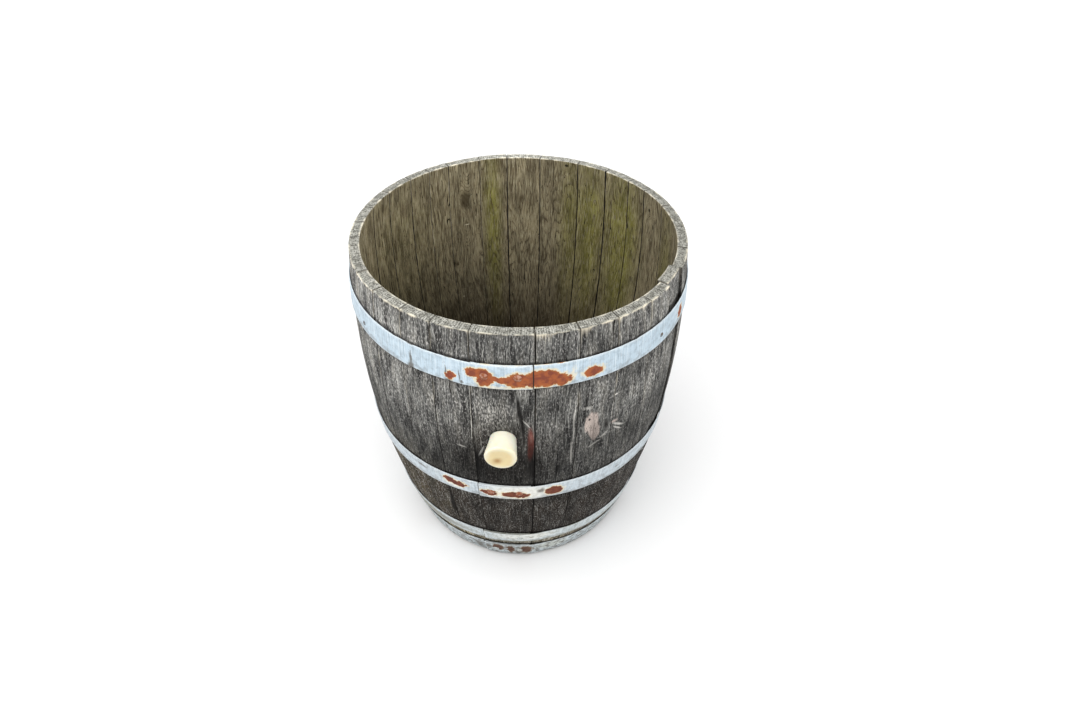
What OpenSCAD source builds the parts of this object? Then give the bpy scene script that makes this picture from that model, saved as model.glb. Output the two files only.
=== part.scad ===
// Barrel planter: an oak wine cask, sawn off above its bilge and stood on its remaining head.
// The staves are true cooper's staves, bowed in height and revolved in section, and each one
// carries its share of the croze groove that holds the head. Azimuths are in degrees, seen from
// above and counter-clockwise from the front (-Y). Heights start at the stave ends (Z = 0).

/* [Cask] */
// Height of the planter, from the stave ends to the sawn rim
planter_h = 740; // [655:5:850]
// Height of the bilge, the cask's widest ring
bilge_z = 487; // [450:1:520]
// Outer radius of the staves at the bilge
bilge_r = 340; // [310:1:380]
// Outer radius of the staves at their lower ends
base_r = 273; // [240:1:295]
// Thickness of the staves
stave_t = 20; // [16:0.5:27]
// Worn edge along the rim and round the stave ends
arris = 1.2; // [0.4:0.1:3]

/* [Staves] */
// Width of every stave at the bilge, counter-clockwise from the bung stave
stave_widths = [
    112, 77, 74, 79, 61, 65, 73, 82, 91, 79, 57, 72, 79, 101, 85,
    71, 85, 55, 58, 78, 74, 62, 60, 74, 55, 67, 76, 64, 71
]; // [50:1:120]
// Azimuth of the joint on the left of the bung stave
first_joint_az = -12.2; // [-15:0.1:-10]
// Open joint between two staves
joint_gap = 0.6; // [0.3:0.1:1.2]
// Number of the stave that has dried out and leans inwards
loose_stave = 6; // [2:1:29]
// How far the loose stave's top leans inwards
loose_lean = 6; // [0:0.5:8]

/* [Chime and croze] */
// Height of the middle of the croze groove
croze_z = 45; // [36:1:60]
// Width of the croze groove
croze_w = 5; // [4:0.5:7]
// Depth of the croze groove below the howel
croze_d = 5; // [3:0.5:7]
// Depth of the howel, the hollow planed above and below the croze
howel_d = 2; // [1:0.25:4]
// Radius of the plane that cuts the howel
howel_r = 70; // [50:5:100]
// Height of the bevel inside the stave ends
chime_h = 22; // [12:1:26]
// Width of the bevel inside the stave ends
chime_w = 8; // [4:0.5:10]

/* [Head] */
// Thickness of the head
head_t = 20; // [16:0.5:26]
// Width of every head board, front to back
head_widths = [74, 76, 80, 84, 80, 77, 73]; // [60:1:100]
// Open joint between two head boards
head_gap = 0.3; // [0.2:0.1:1]
// Wood left below the tongue that enters the croze
head_drop = 4.7; // [3:0.1:7]
// Thickness of the tongue's tip
tongue_tip = 3.4; // [2:0.1:4.4]
// Width of the bevel under the head's edge
head_bevel_out = 12; // [8:1:20]
// Width of the bevel on top of the head's edge
head_bevel_in = 24; // [12:1:34]
// Clearance of the head's tongue in the croze
croze_fit = 0.2; // [0.1:0.05:0.4]
// Diameter of the head's dowels
dowel_d = 8; // [6:0.5:10]
// Length of the head's dowels
dowel_l = 36; // [24:1:44]
// Place of the dowels, as a share of their joint's half length
dowel_place = 0.45; // [0.3:0.05:0.6]
// Clearance round the dowels
dowel_fit = 0.1; // [0.05:0.05:0.25]

/* [Drain holes] */
// Diameter of the drain holes
drain_d = 20; // [10:1:25]
// Distance of the drain holes from the middle of their boards
drain_x = 115; // [60:1:150]

/* [Hoops] */
// Thickness of the hoop iron
hoop_t = 2; // [1.2:0.1:3]
// Clearance between a hoop's middle and the staves
hoop_fit = 0.2; // [0.1:0.05:0.6]
// Distance of the upper bilge hoop below the rim
upper_hoop_drop = 56; // [30:1:75]
// Width of the upper bilge hoop
upper_hoop_w = 48.5; // [35:0.5:60]
// Height of the lower edge of the lower bilge hoop
lower_hoop_z = 320.7; // [250:0.1:350]
// Width of the lower bilge hoop
lower_hoop_w = 45; // [35:0.5:60]
// Height of the lower edge of the quarter hoop
quarter_hoop_z = 102; // [85:0.5:150]
// Width of the quarter hoop
quarter_hoop_w = 45; // [35:0.5:60]
// Height of the lower edge of the head hoop
head_hoop_z = 7; // [3:0.5:15]
// Width of the head hoop
head_hoop_w = 66.5; // [45:0.5:70]
// Length of the lap that each hoop is riveted in
lap_l = 104; // [80:1:140]
// Play between the two layers of a lap
lap_gap = 0.15; // [0.1:0.05:0.5]
// Length over which a hoop steps up on its own end
joggle_l = 40; // [20:1:60]
// Azimuths of the middle of each hoop's lap
upper_lap_az = -3.1; // [-5:0.1:5]
lower_lap_az = -3.0; // [-5:0.1:5]
quarter_lap_az = -3.6; // [-5:0.1:5]
head_lap_az = -4.2; // [-5:0.1:5]

/* [Rivets] */
// Diameter of the rivet shanks
rivet_d = 6.5; // [4:0.5:8]
// Diameter of the rivet heads
rivet_head_d = 14; // [10:0.5:18]
// Height of the rivet heads
rivet_head_h = 3; // [2:0.25:5]
// Distance between the two rivets of a lap
rivet_pitch = 55; // [40:1:64]
// Depth and extra radius of the countersink that a rivet's tail fills
rivet_sink = 1.2; // [0.5:0.1:1.6]
// Clearance of the rivets in their holes
rivet_fit = 0.1; // [0.05:0.05:0.2]

/* [Hoop nails] */
// Azimuths of the nails through the upper bilge hoop
upper_nail_az = [-53.9, 50.9, 140, -145]; // [-180:0.1:180]
// Azimuths of the nails that hold up the lower bilge hoop
lower_nail_az = [53.6, 174, -114]; // [-180:0.1:180]
// Height of the upper nails above the hoop's lower edge
upper_nail_rise = 18; // [8:1:28]
// Diameter of the nail shanks
nail_d = 3.5; // [2:0.1:4.5]
// Length of the nails below their heads
nail_l = 16; // [10:1:18]
// Diameter of the nail heads
nail_head_d = 9; // [7:0.5:12]
// Height of the nail heads
nail_head_h = 2.4; // [1.5:0.1:4]
// Clearance round the nails
nail_fit = 0.05; // [0.03:0.01:0.1]

/* [Bung] */
// Azimuth of the bung
bung_az = -3; // [-5:0.1:0]
// Height of the bung's axis
bung_z = 507; // [490:1:520]
// Radius of the bung where it leaves the cask
bung_r = 24.3; // [20:0.1:27]
// Radius of the bung where its outer edge starts to round
bung_end_r = 29.4; // [28:0.1:34]
// Length of the bung outside the cask
bung_out = 41; // [25:1:50]
// Length of the bung below the cask's surface
bung_in = 24; // [22:1:40]
// Radius of the bung's rounded outer edge
bung_round = 4; // [1:0.5:6]
// Radius of the dished middle of the bung's outer end
dish_r = 18; // [12:1:21]
// Depth of that dish
dish_d = 2; // [0.5:0.25:4]
// Clearance of the bung in its tapered hole
bung_fit = 0.3; // [0.2:0.05:0.5]

/* [Hidden] */
// Segments of the bow's circle, of rings about the cask's axis and of small round things
BOW_FN = 360;
RING_FN = 240;
ROUND_FN = 96;
HOLE_FN = 48;
// How far a cut runs past what it cuts
OVER = 1;
// Play under the heads of rivets and nails
SEAT = 0.05;
// How far a joggle runs into the layers at its ends, and how much narrower than them it is
BITE = 2;
TRIM = 0.3;
// Share of a nail's diameter left at its point
NAIL_POINT = 0.2;
STEEL = [0.72, 0.77, 0.80];
OAK = [0.36, 0.34, 0.31];
HEAD_OAK = [0.42, 0.36, 0.28];
SILICONE = [0.93, 0.90, 0.75];

stave_n = len(stave_widths);
head_n = len(head_widths);

function stave_name(i) = str("stave_", i < 10 ? "0" : "", i);
function head_name(i) = str("head_board_", i);

// ---- the cask's form ----

// Radius of the circle that the staves are bowed to, and its centre's place beyond the axis
bow_r = (pow(bilge_z, 2) + pow(bilge_r - base_r, 2)) / (2 * (bilge_r - base_r));
bow_x = bilge_r - bow_r;

// Radius of the staves' outer and inner surface at a height
function outer_r(z) = bow_x + sqrt(pow(bow_r, 2) - pow(z - bilge_z, 2));
function inner_r(z) = bow_x + sqrt(pow(bow_r - stave_t, 2) - pow(z - bilge_z, 2));

// Sum of the first n values of a list
function sum_to(v, n) = n < 1 ? 0 : v[n - 1] + sum_to(v, n - 1);
// Angle that a length spans at a radius
function arc_angle(l, r) = l / r * 180 / PI;
// An angle brought into the turn from 0 to 360
function turned(a) = a - 360 * floor(a / 360);

// Turns the +X direction to an azimuth
module to_az(az) {
    rotate([0, 0, az - 90]) children();
}

// ---- staves ----

croze_r = inner_r(croze_z) + howel_d + croze_d;

function joint_az(i) =
    first_joint_az + 360 * sum_to(stave_widths, i - 1) / sum_to(stave_widths, stave_n);

// Section of a stave: radius to the right, height upwards
module stave_section() {
    difference() {
        intersection() {
            translate([bow_x, bilge_z]) circle(r = bow_r, $fn = BOW_FN);
            square([bilge_r + OVER, planter_h]);
        }
        translate([bow_x, bilge_z]) circle(r = bow_r - stave_t, $fn = BOW_FN);
        translate([0, croze_z - croze_w / 2]) square([croze_r, croze_w]);
        translate([inner_r(croze_z) + howel_d - howel_r, croze_z]) circle(r = howel_r, $fn = ROUND_FN);
        chime_bevel();
        arris_cut(outer_r(planter_h), planter_h);
        arris_cut(inner_r(planter_h), planter_h);
        arris_cut(base_r, 0);
    }
}

// Bevel inside the stave ends
module chime_bevel() {
    slope = chime_w / chime_h;
    foot_r = inner_r(0) + chime_w;
    polygon([
        [0, -OVER],
        [foot_r + slope * OVER, -OVER],
        [foot_r - slope * (chime_h + OVER), chime_h + OVER],
        [0, chime_h + OVER]
    ]);
}

module arris_cut(r, z) {
    translate([r, z]) rotate(45) square(arris * sqrt(2), center = true);
}

// The cask's wall over an angle, from the +X direction on
module wall(span) {
    rotate_extrude(angle = span, $fn = RING_FN) stave_section();
}

// The loose stave leans about its foot; it has shrunk enough to clear its neighbours
module loose_wall(span) {
    shrunk = arc_angle(loose_lean * sin(span / 2), inner_r(planter_h));
    pivot = [croze_r, 0, croze_z / 2];
    lean = atan(loose_lean / (planter_h - pivot[2]));
    intersection() {
        rotate([0, 0, span / 2])
            translate(pivot)
                rotate([0, -lean, 0])
                    translate(-pivot)
                        rotate([0, 0, shrunk - span / 2]) wall(span - 2 * shrunk);
        cylinder(h = planter_h, r = bilge_r + OVER, $fn = RING_FN);
    }
}

module stave(i) {
    gap = arc_angle(joint_gap, bilge_r);
    az = joint_az(i) + gap / 2;
    span = joint_az(i + 1) - joint_az(i) - gap;
    color(OAK) difference() {
        to_az(az) {
            if (i == loose_stave) loose_wall(span);
            else wall(span);
        }
        if (i == 1) to_bung() bung_hole();
        for (n = nails) if (nail_meets(n, az, span)) to_nail(n) nail_hole();
    }
}

// ---- head ----

head_r = croze_r - croze_fit;
tongue_t = croze_w - 2 * croze_fit;
head_z = croze_z - tongue_t / 2 - head_drop;
middle_board = ceil(head_n / 2);

// Depth of the joint in front of a head board, of a board's middle, and half the chord there
function head_joint(i) = head_r * (2 * sum_to(head_widths, i - 1) / sum_to(head_widths, head_n) - 1);
function head_middle(i) = (head_joint(i) + head_joint(i + 1)) / 2;
function half_chord(y) = sqrt(pow(head_r, 2) - pow(y, 2));

// Places of the drain holes, two in each board beside the middle one
drains = [for (side = [-1, 1], b = [-1, 1]) [side * drain_x, head_middle(middle_board + b)]];

// The whole head, bevelled on both faces to a tapered tongue that enters the croze
module head_disc() {
    lip_r = head_r - croze_d;
    rotate_extrude($fn = RING_FN) polygon([
        [0, head_z],
        [head_r - head_bevel_out, head_z],
        [lip_r, croze_z - tongue_t / 2],
        [head_r, croze_z - tongue_tip / 2],
        [head_r, croze_z + tongue_tip / 2],
        [lip_r, croze_z + tongue_t / 2],
        [head_r - head_bevel_in, head_z + head_t],
        [0, head_z + head_t]
    ]);
}

module head_board(i) {
    front = head_joint(i) + (i > 1 ? head_gap / 2 : -OVER);
    back = head_joint(i + 1) - (i < head_n ? head_gap / 2 : -OVER);
    top = head_z + head_t + OVER;
    color(HEAD_OAK) difference() {
        intersection() {
            head_disc();
            translate([-head_r - OVER, front, 0]) cube([2 * (head_r + OVER), back - front, top]);
        }
        for (d = drains) if (d[1] > front && d[1] < back)
            translate([d[0], d[1], 0]) cylinder(h = top, d = drain_d, $fn = HOLE_FN);
        if (i > 1) to_dowels(i) dowel(dowel_fit);
        if (i < head_n) to_dowels(i + 1) dowel(dowel_fit);
    }
}

// Puts a dowel across each end of the joint in front of a head board
module to_dowels(i) {
    y = head_joint(i);
    for (side = [-1, 1])
        translate([side * half_chord(y) * dowel_place, y, head_z + head_t / 2])
            rotate([90, 0, 0]) children();
}

module dowel(play) {
    cylinder(h = dowel_l + 2 * play, d = dowel_d + 2 * play, center = true, $fn = HOLE_FN);
}

module head_dowels() {
    color(HEAD_OAK) for (i = [2 : head_n]) to_dowels(i) dowel(0);
}

// ---- hoops ----

// Each hoop: lower edge, width, azimuth of its lap's middle, way that its outer end points
HOOP_UPPER = [planter_h - upper_hoop_drop - upper_hoop_w, upper_hoop_w, upper_lap_az, 1];
HOOP_LOWER = [lower_hoop_z, lower_hoop_w, lower_lap_az, -1];
HOOP_QUARTER = [quarter_hoop_z, quarter_hoop_w, quarter_lap_az, -1];
HOOP_HEAD = [head_hoop_z, head_hoop_w, head_lap_az, -1];

// Distance along the normal from a hoop's inner surface to its outer layer's inner surface
lap_lift = hoop_t + lap_gap;

// A hoop is a cone that clears the bowed staves in its middle, so its edges stand a little off
function hoop_r(h, rise) =
    let (off = hoop_fit + pow(h[1], 2) / (8 * bow_r))
    let (low = outer_r(h[0]) + off, high = outer_r(h[0] + h[1]) + off)
    low + (high - low) * rise / h[1];
// Angle by which its outward normal tips upwards
function hoop_tilt(h) = atan((hoop_r(h, 0) - hoop_r(h, h[1])) / h[1]);
// Angle that a length spans round its middle
function hoop_angle(h, l) = arc_angle(l, hoop_r(h, h[1] / 2));
// Radial distance between the two layers of its lap
function lap_out(h) = lap_lift / cos(hoop_tilt(h));

// Part of a hoop over an angle from the +X direction on, moved outwards and trimmed in width
module iron(h, angle, out = 0, trim = 0) {
    depth = [hoop_t / cos(hoop_tilt(h)), 0];
    low = [hoop_r(h, trim) + out, h[0] + trim];
    high = [hoop_r(h, h[1] - trim) + out, h[0] + h[1] - trim];
    rotate_extrude(angle = angle, $fn = RING_FN) polygon([low, low + depth, high + depth, high]);
}

// Goes to a place on the inside of a hoop, with +Z outwards along its normal
module to_hoop(h, az, rise) {
    to_az(az) translate([hoop_r(h, rise), 0, h[0] + rise])
        rotate([0, 90 - hoop_tilt(h), 0]) children();
}

// Direction of a point at radius r and angle a, seen from a shifted axis
function seen_from(shift, r, a) = atan2(r * sin(a) - shift[1], r * cos(a) - shift[0]);

// The slope by which the iron climbs on to its own inner end: the same cone about an axis that
// is shifted so that it leaves the staves at -climb and reaches the outer layer at +X. It stops
// a bite short of both, where the layers still run on for a second bite.
module joggle(h, climb, bite) {
    r = hoop_r(h, h[1] / 2);
    shift = [lap_out(h), lap_out(h) / tan(climb)];
    from = seen_from(shift, r, bite - climb);
    to = seen_from(shift, r + lap_out(h), -bite);
    translate([shift[0], shift[1], 0]) rotate([0, 0, from])
        iron(h, to - from, shift * shift / (2 * r), TRIM);
}

// One strip from its inner end near +X, round the cask, up the joggle and over its own end
module strip(h) {
    climb = hoop_angle(h, joggle_l);
    end_gap = hoop_angle(h, hoop_t);
    bite = hoop_angle(h, BITE);
    rotate([0, 0, end_gap]) iron(h, 360 - climb - end_gap + 2 * bite);
    joggle(h, climb, bite);
    rotate([0, 0, -2 * bite]) iron(h, hoop_angle(h, lap_l) + 2 * bite, lap_out(h));
}

module hoop(h) {
    color(STEEL) difference() {
        to_az(h[2]) mirror([0, h[3] > 0 ? 0 : 1, 0]) rotate([0, 0, -hoop_angle(h, lap_l) / 2]) strip(h);
        to_rivets(h) rivet_shank(rivet_fit);
        for (n = nails) if (n[0] == h && n[2] > 0) to_nail(n) nail_hole();
    }
}

// ---- rivets and nails ----

// A domed head, its flat side at Z = 0
module button(d, h) {
    r = (pow(d / 2, 2) + pow(h, 2)) / (2 * h);
    rotate_extrude($fn = HOLE_FN) intersection() {
        translate([0, h - r]) circle(r = r, $fn = ROUND_FN);
        square([d, d]);
    }
}

module to_rivets(h) {
    for (side = [-1, 1])
        to_hoop(h, h[2] + side * hoop_angle(h, rivet_pitch / 2), h[1] / 2) children();
}

// Shank through both layers of a lap, with the countersunk tail inside
module rivet_shank(play) {
    foot = play > 0 ? -OVER : 0;
    top = lap_lift + hoop_t + (play > 0 ? OVER : SEAT);
    r = rivet_d / 2 + play;
    translate([0, 0, foot]) cylinder(h = top - foot, r = r, $fn = HOLE_FN);
    cylinder(h = rivet_sink, r1 = r + rivet_sink, r2 = r, $fn = HOLE_FN);
}

module hoop_rivets() {
    color(STEEL) for (h = [HOOP_UPPER, HOOP_LOWER, HOOP_QUARTER, HOOP_HEAD]) to_rivets(h) {
        rivet_shank(0);
        translate([0, 0, lap_lift + hoop_t + SEAT]) button(rivet_head_d, rivet_head_h);
    }
}

// Each nail: hoop, azimuth, height above that hoop's lower edge. The lower ones catch its edge.
nails = concat(
    [for (az = upper_nail_az) [HOOP_UPPER, az, upper_nail_rise]],
    [for (az = lower_nail_az) [HOOP_LOWER, az, -nail_d / 2 - 2 * nail_fit]]
);

module to_nail(n) {
    to_hoop(n[0], n[1], n[2]) translate([0, 0, hoop_t + SEAT]) children();
}

function nail_meets(n, az, span) =
    let (margin = arc_angle(nail_d, base_r)) turned(n[1] - az + margin) < span + 2 * margin;

module nail_hole() {
    translate([0, 0, -nail_l - nail_fit])
        cylinder(h = nail_l + 2 * OVER, d = nail_d + 2 * nail_fit, $fn = HOLE_FN);
}

module hoop_nails() {
    point_l = nail_d;
    tip_d = nail_d * NAIL_POINT;
    color(STEEL) for (n = nails) to_nail(n) {
        button(nail_head_d, nail_head_h);
        translate([0, 0, point_l - nail_l]) cylinder(h = nail_l - point_l, d = nail_d, $fn = HOLE_FN);
        translate([0, 0, -nail_l]) cylinder(h = point_l, d1 = tip_d, d2 = nail_d, $fn = HOLE_FN);
    }
}

// ---- bung ----

// Radius of the bung's taper at a distance outside the cask
function bung_radius(out) = bung_r + (bung_end_r - bung_r) * out / (bung_out - bung_round);

// Goes to the middle of the bung hole, with +Z outwards
module to_bung() {
    to_az(bung_az) translate([outer_r(bung_z), 0, bung_z]) rotate([0, 90, 0]) children();
}

module bung_hole() {
    depth = stave_t + 2 * OVER;
    translate([0, 0, -depth]) cylinder(
        h = depth + 2 * OVER,
        r1 = bung_radius(-depth) + bung_fit,
        r2 = bung_radius(2 * OVER) + bung_fit,
        $fn = ROUND_FN
    );
}

// Tapered plug with a rounded outer edge and a dished outer end
module bung() {
    edge = [bung_end_r - bung_round, bung_out - bung_round];
    corner = [for (a = [0 : 15 : 90]) edge + bung_round * [cos(a), sin(a)]];
    color(SILICONE) to_bung() rotate_extrude($fn = ROUND_FN) difference() {
        polygon(concat([[0, -bung_in], [bung_radius(-bung_in), -bung_in]], corner, [[0, bung_out]]));
        dish(dish_r, dish_d);
    }
}

// Section of the shallow dish: an arc through the middle of the end and the dish's edge
module dish(r, depth) {
    bowl_r = (pow(r, 2) + pow(depth, 2)) / (2 * depth);
    translate([0, bung_out + bowl_r - depth]) circle(r = bowl_r, $fn = BOW_FN);
}

for (i = [1 : stave_n]) stave(i);
hoop(HOOP_UPPER);  // hoop_bilge_upper
hoop(HOOP_LOWER);  // hoop_bilge_lower
hoop(HOOP_QUARTER);  // hoop_quarter
hoop(HOOP_HEAD);  // hoop_head
hoop_rivets();
hoop_nails();
for (i = [1 : head_n]) head_board(i);
head_dowels();
bung();
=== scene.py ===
"""Dresses the barrel planter: grey oak staves, zinced hoops, a damp head and a silicone bung."""

import logging
import math
from collections.abc import Callable
from dataclasses import dataclass, field, replace
from enum import Enum, IntEnum
from functools import partial

import bmesh
import bpy
import numpy as np
from bmesh.types import BMesh
from bpy.types import ID, Material, Mesh, NodeSocket, NodeTree, Object
from mathutils import Matrix, Vector, noise


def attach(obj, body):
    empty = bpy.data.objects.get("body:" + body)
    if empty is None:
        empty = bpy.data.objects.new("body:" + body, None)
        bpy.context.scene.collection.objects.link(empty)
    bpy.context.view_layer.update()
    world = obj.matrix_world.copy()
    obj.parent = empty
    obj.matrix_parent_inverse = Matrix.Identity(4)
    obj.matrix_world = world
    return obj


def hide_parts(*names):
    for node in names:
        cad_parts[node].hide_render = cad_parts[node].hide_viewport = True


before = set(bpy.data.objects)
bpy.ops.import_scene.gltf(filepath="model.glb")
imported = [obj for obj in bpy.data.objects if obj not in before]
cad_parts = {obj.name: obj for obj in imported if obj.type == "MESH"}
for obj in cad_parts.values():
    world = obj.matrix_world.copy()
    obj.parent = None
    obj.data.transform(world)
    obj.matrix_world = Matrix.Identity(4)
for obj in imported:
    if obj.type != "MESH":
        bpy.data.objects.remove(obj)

log = logging.getLogger("barrel_planter")

GRAIN_MAP = "grain"
WOOD_MARKS = ("tone", "damp", "moss", "worn", "bare", "cleft")
# the hoops' lower edges and widths in metres, from the top down
HOOP_BANDS = ((0.6355, 0.0485), (0.3207, 0.045), (0.102, 0.045), (0.007, 0.0665))
BUNG_AZIMUTH = -3.0
BUNG_Z = 0.507
# where the middle line of a rounded edge lies, as a share of its radius
EDGE_MIDDLE = 0.586
WELD = 1e-6
IMAGE_WIDTH = 1080

AddNode = Callable[..., NodeSocket]


class Side(IntEnum):
    """The six sides of a block, in the order in which its low and high ends are numbered."""

    LEFT = 0
    OUTER = 1
    FOOT = 2
    RIGHT = 3
    INNER = 4
    TOP = 5


class Way(Enum):
    """The way in which a hoop's outer end points, seen from the front."""

    RIGHT = 1
    LEFT = -1


# ---- small tools ----


def linear(hex_colour: str) -> tuple[float, float, float, float]:
    """Turns an sRGB hex colour, "#rrggbb", into the linear colour that a shader takes."""
    channels = (int(hex_colour[i : i + 2], 16) / 255 for i in (1, 3, 5))
    return (*(c / 12.92 if c <= 0.04045 else ((c + 0.055) / 1.055) ** 2.4 for c in channels), 1.0)


def add_node(
    tree: NodeTree,
    kind: str,
    sockets: dict | None = None,
    out: int | str = 0,
    **settings: object,
) -> NodeSocket | None:
    """Adds a shader node, with its settings, its values and its links.

    Args:
        tree: The node tree that the node joins.
        kind: The node's type, without its "ShaderNode".
        sockets: For each input, by name or number, a value or the output socket to link.
        out: The wanted output, by name or number.
        settings: The node's own properties.

    Returns:
        The wanted output, if the node has any.
    """
    node = tree.nodes.new(f"ShaderNode{kind}")
    for name, value in settings.items():
        setattr(node, name, value)
    for key, value in (sockets or {}).items():
        if isinstance(value, NodeSocket):
            tree.links.new(value, node.inputs[key])
        else:
            node.inputs[key].default_value = value
    return node.outputs[out] if node.outputs else None


def summed(
    add: AddNode, start: NodeSocket | float, *parts: tuple[NodeSocket | float, float]
) -> NodeSocket:
    """Adds fields to a first one.

    Args:
        add: Adds a node.
        start: The first field.
        parts: The other fields, each with its weight.

    Returns:
        The sum.
    """
    for part, weight in parts:
        start = add("Math", {0: part, 1: weight, 2: start}, operation="MULTIPLY_ADD")
    return start


def coated(add: AddNode, ground: str, *coats: tuple) -> NodeSocket:
    """Lays coats of colour over a ground.

    Args:
        add: Adds a node.
        ground: The ground's hex colour.
        coats: For each coat its colour, in hex or as an output, and its mask. Or, in place of
            the mask, a field, where on it the coat starts, where it is full, and how full.

    Returns:
        The colour that shows.
    """
    colour = linear(ground)
    for coat, share, *ends in coats:
        over = linear(coat) if isinstance(coat, str) else coat
        if ends:
            share = add("MapRange", {"Value": share, **dict(zip((1, 2, 4), ends))})
        colour = add("Mix", {0: share, 6: colour, 7: over}, 2, data_type="RGBA")
    return colour


def distance(
    add: AddNode,
    places: NodeSocket,
    middle: tuple[float, float],
    halves: tuple[float, float],
    turn: float = 0.0,
) -> NodeSocket:
    """Distance of a map's places from the middle of a spot, in half sizes of the spot.

    Args:
        add: Adds a node.
        places: The map.
        middle: The spot's middle on the map.
        halves: Its half width and half length.
        turn: How far it is turned, in degrees.

    Returns:
        The output with the distance.
    """
    off = add("VectorMath", {0: places, 1: (*middle, 0.0)}, operation="SUBTRACT")
    off = add("Mapping", {"Vector": off, "Rotation": (0.0, 0.0, math.radians(turn))})
    scale = (1 / halves[0], 1 / halves[1], 1.0)
    off = add("VectorMath", {0: off, 1: scale}, operation="MULTIPLY")
    return add("VectorMath", {0: off}, "Value", operation="LENGTH")


def direct_rays(add: AddNode) -> NodeSocket:
    """Tells the rays that show a surface, straight or in a mirror, from those that only light.

    Args:
        add: Adds a node.

    Returns:
        The output that is 1 for camera, glossy and transmission rays.
    """
    seen = add("LightPath", None, "Is Camera Ray")
    for ray in ("Is Glossy Ray", "Is Transmission Ray"):
        seen = add("Math", {0: seen, 1: add("LightPath", None, ray)}, operation="MAXIMUM")
    return seen


def ripple(places: np.ndarray, lengths: tuple[float, float, float], seed: float) -> np.ndarray:
    """Smooth noise over points.

    Args:
        places: The points, one row each, in metres.
        lengths: How long the noise's waves are along each axis, in metres.
        seed: Moves the pattern, so that two pieces differ.

    Returns:
        A value from about -1 to 1 for each point.
    """
    moved = places / np.array(lengths) + seed * np.array((17.31, 5.17, 9.73))
    return np.fromiter((noise.noise(p) for p in moved.tolist()), float, len(moved))


def rise(low: float, high: float, values: np.ndarray) -> np.ndarray:
    """Smooth step from 0 at low to 1 at high."""
    t = np.clip((values - low) / (high - low), 0, 1)
    return t * t * (3 - 2 * t)


def hump(values: np.ndarray, middle: float, width: float) -> np.ndarray:
    """A bell of height 1 about a middle, about width wide to each side."""
    return np.exp(-(((values - middle) / width) ** 2))


def outward(azimuth: float, radius: float, z: float, tilt: float = 0.0) -> Matrix:
    """A place on the cask, with Z along the outward normal.

    Args:
        azimuth: The azimuth in degrees.
        radius: The distance from the cask's axis.
        z: The height.
        tilt: How far the normal tips upwards, in radians.

    Returns:
        The matrix that carries a shape there.
    """
    turn = Matrix.Rotation(math.radians(azimuth - 90), 4, "Z")
    return turn @ Matrix.Translation((radius, 0, z)) @ Matrix.Rotation(math.pi / 2 - tilt, 4, "Y")


def points_and_corners(mesh: Mesh) -> tuple[np.ndarray, np.ndarray]:
    """A mesh's points, one row each, and the number of the point at each face corner.

    Args:
        mesh: The mesh.

    Returns:
        The points and the corners.
    """
    points = np.empty(len(mesh.vertices) * 3)
    mesh.vertices.foreach_get("co", points)
    corners = np.empty(len(mesh.loops), int)
    mesh.loops.foreach_get("vertex_index", corners)
    return points.reshape(-1, 3), corners


def mark_points(mesh: Mesh, marks: dict[str, np.ndarray]) -> None:
    """Keeps values for each point as attributes, which the materials read."""
    for mark, values in marks.items():
        mesh.attributes.new(mark, "FLOAT", "POINT").data.foreach_set("value", values)


def linked(name: str, data: ID) -> Object:
    """Makes an object and links it to the scene.

    Args:
        name: The object's name.
        data: Its mesh, lamp or camera.

    Returns:
        The object.
    """
    thing = bpy.data.objects.new(name, data)
    bpy.context.scene.collection.objects.link(thing)
    return thing


def grid_lines(cells: int, size: np.ndarray, edge: float) -> np.ndarray:
    """Distances of a block's grid lines from one end, with two lines in each rounded edge.

    Args:
        cells: The number of cells along this axis, at least 4.
        size: The block's size along this axis at each point.
        edge: The radius of the rounded edges.

    Returns:
        An array whose last axis holds the cells + 1 distances.
    """
    size = size[..., None]
    near = np.array([0, EDGE_MIDDLE, 1.0][: 3 if cells > 5 else 2]) * edge
    inner = np.linspace(0, 1, cells + 3 - 2 * len(near))[1:-1]
    middle = near[-1] + inner * (size - 2 * near[-1])
    return np.concatenate([np.ones_like(size) * near, middle, size - near[::-1]], axis=-1)


def round_edges(place: np.ndarray, size: np.ndarray, radius: np.ndarray) -> np.ndarray:
    """Rounds a block's edges.

    Args:
        place: The surface points, as distances from the block's low corner.
        size: The block's size at each point.
        radius: The edge radius at each point.

    Returns:
        The points, moved on to the rounded surface.
    """
    core = np.clip(place, radius, size - radius)
    out = place - core
    return core + out / np.linalg.norm(out, axis=1, keepdims=True) * radius


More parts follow.
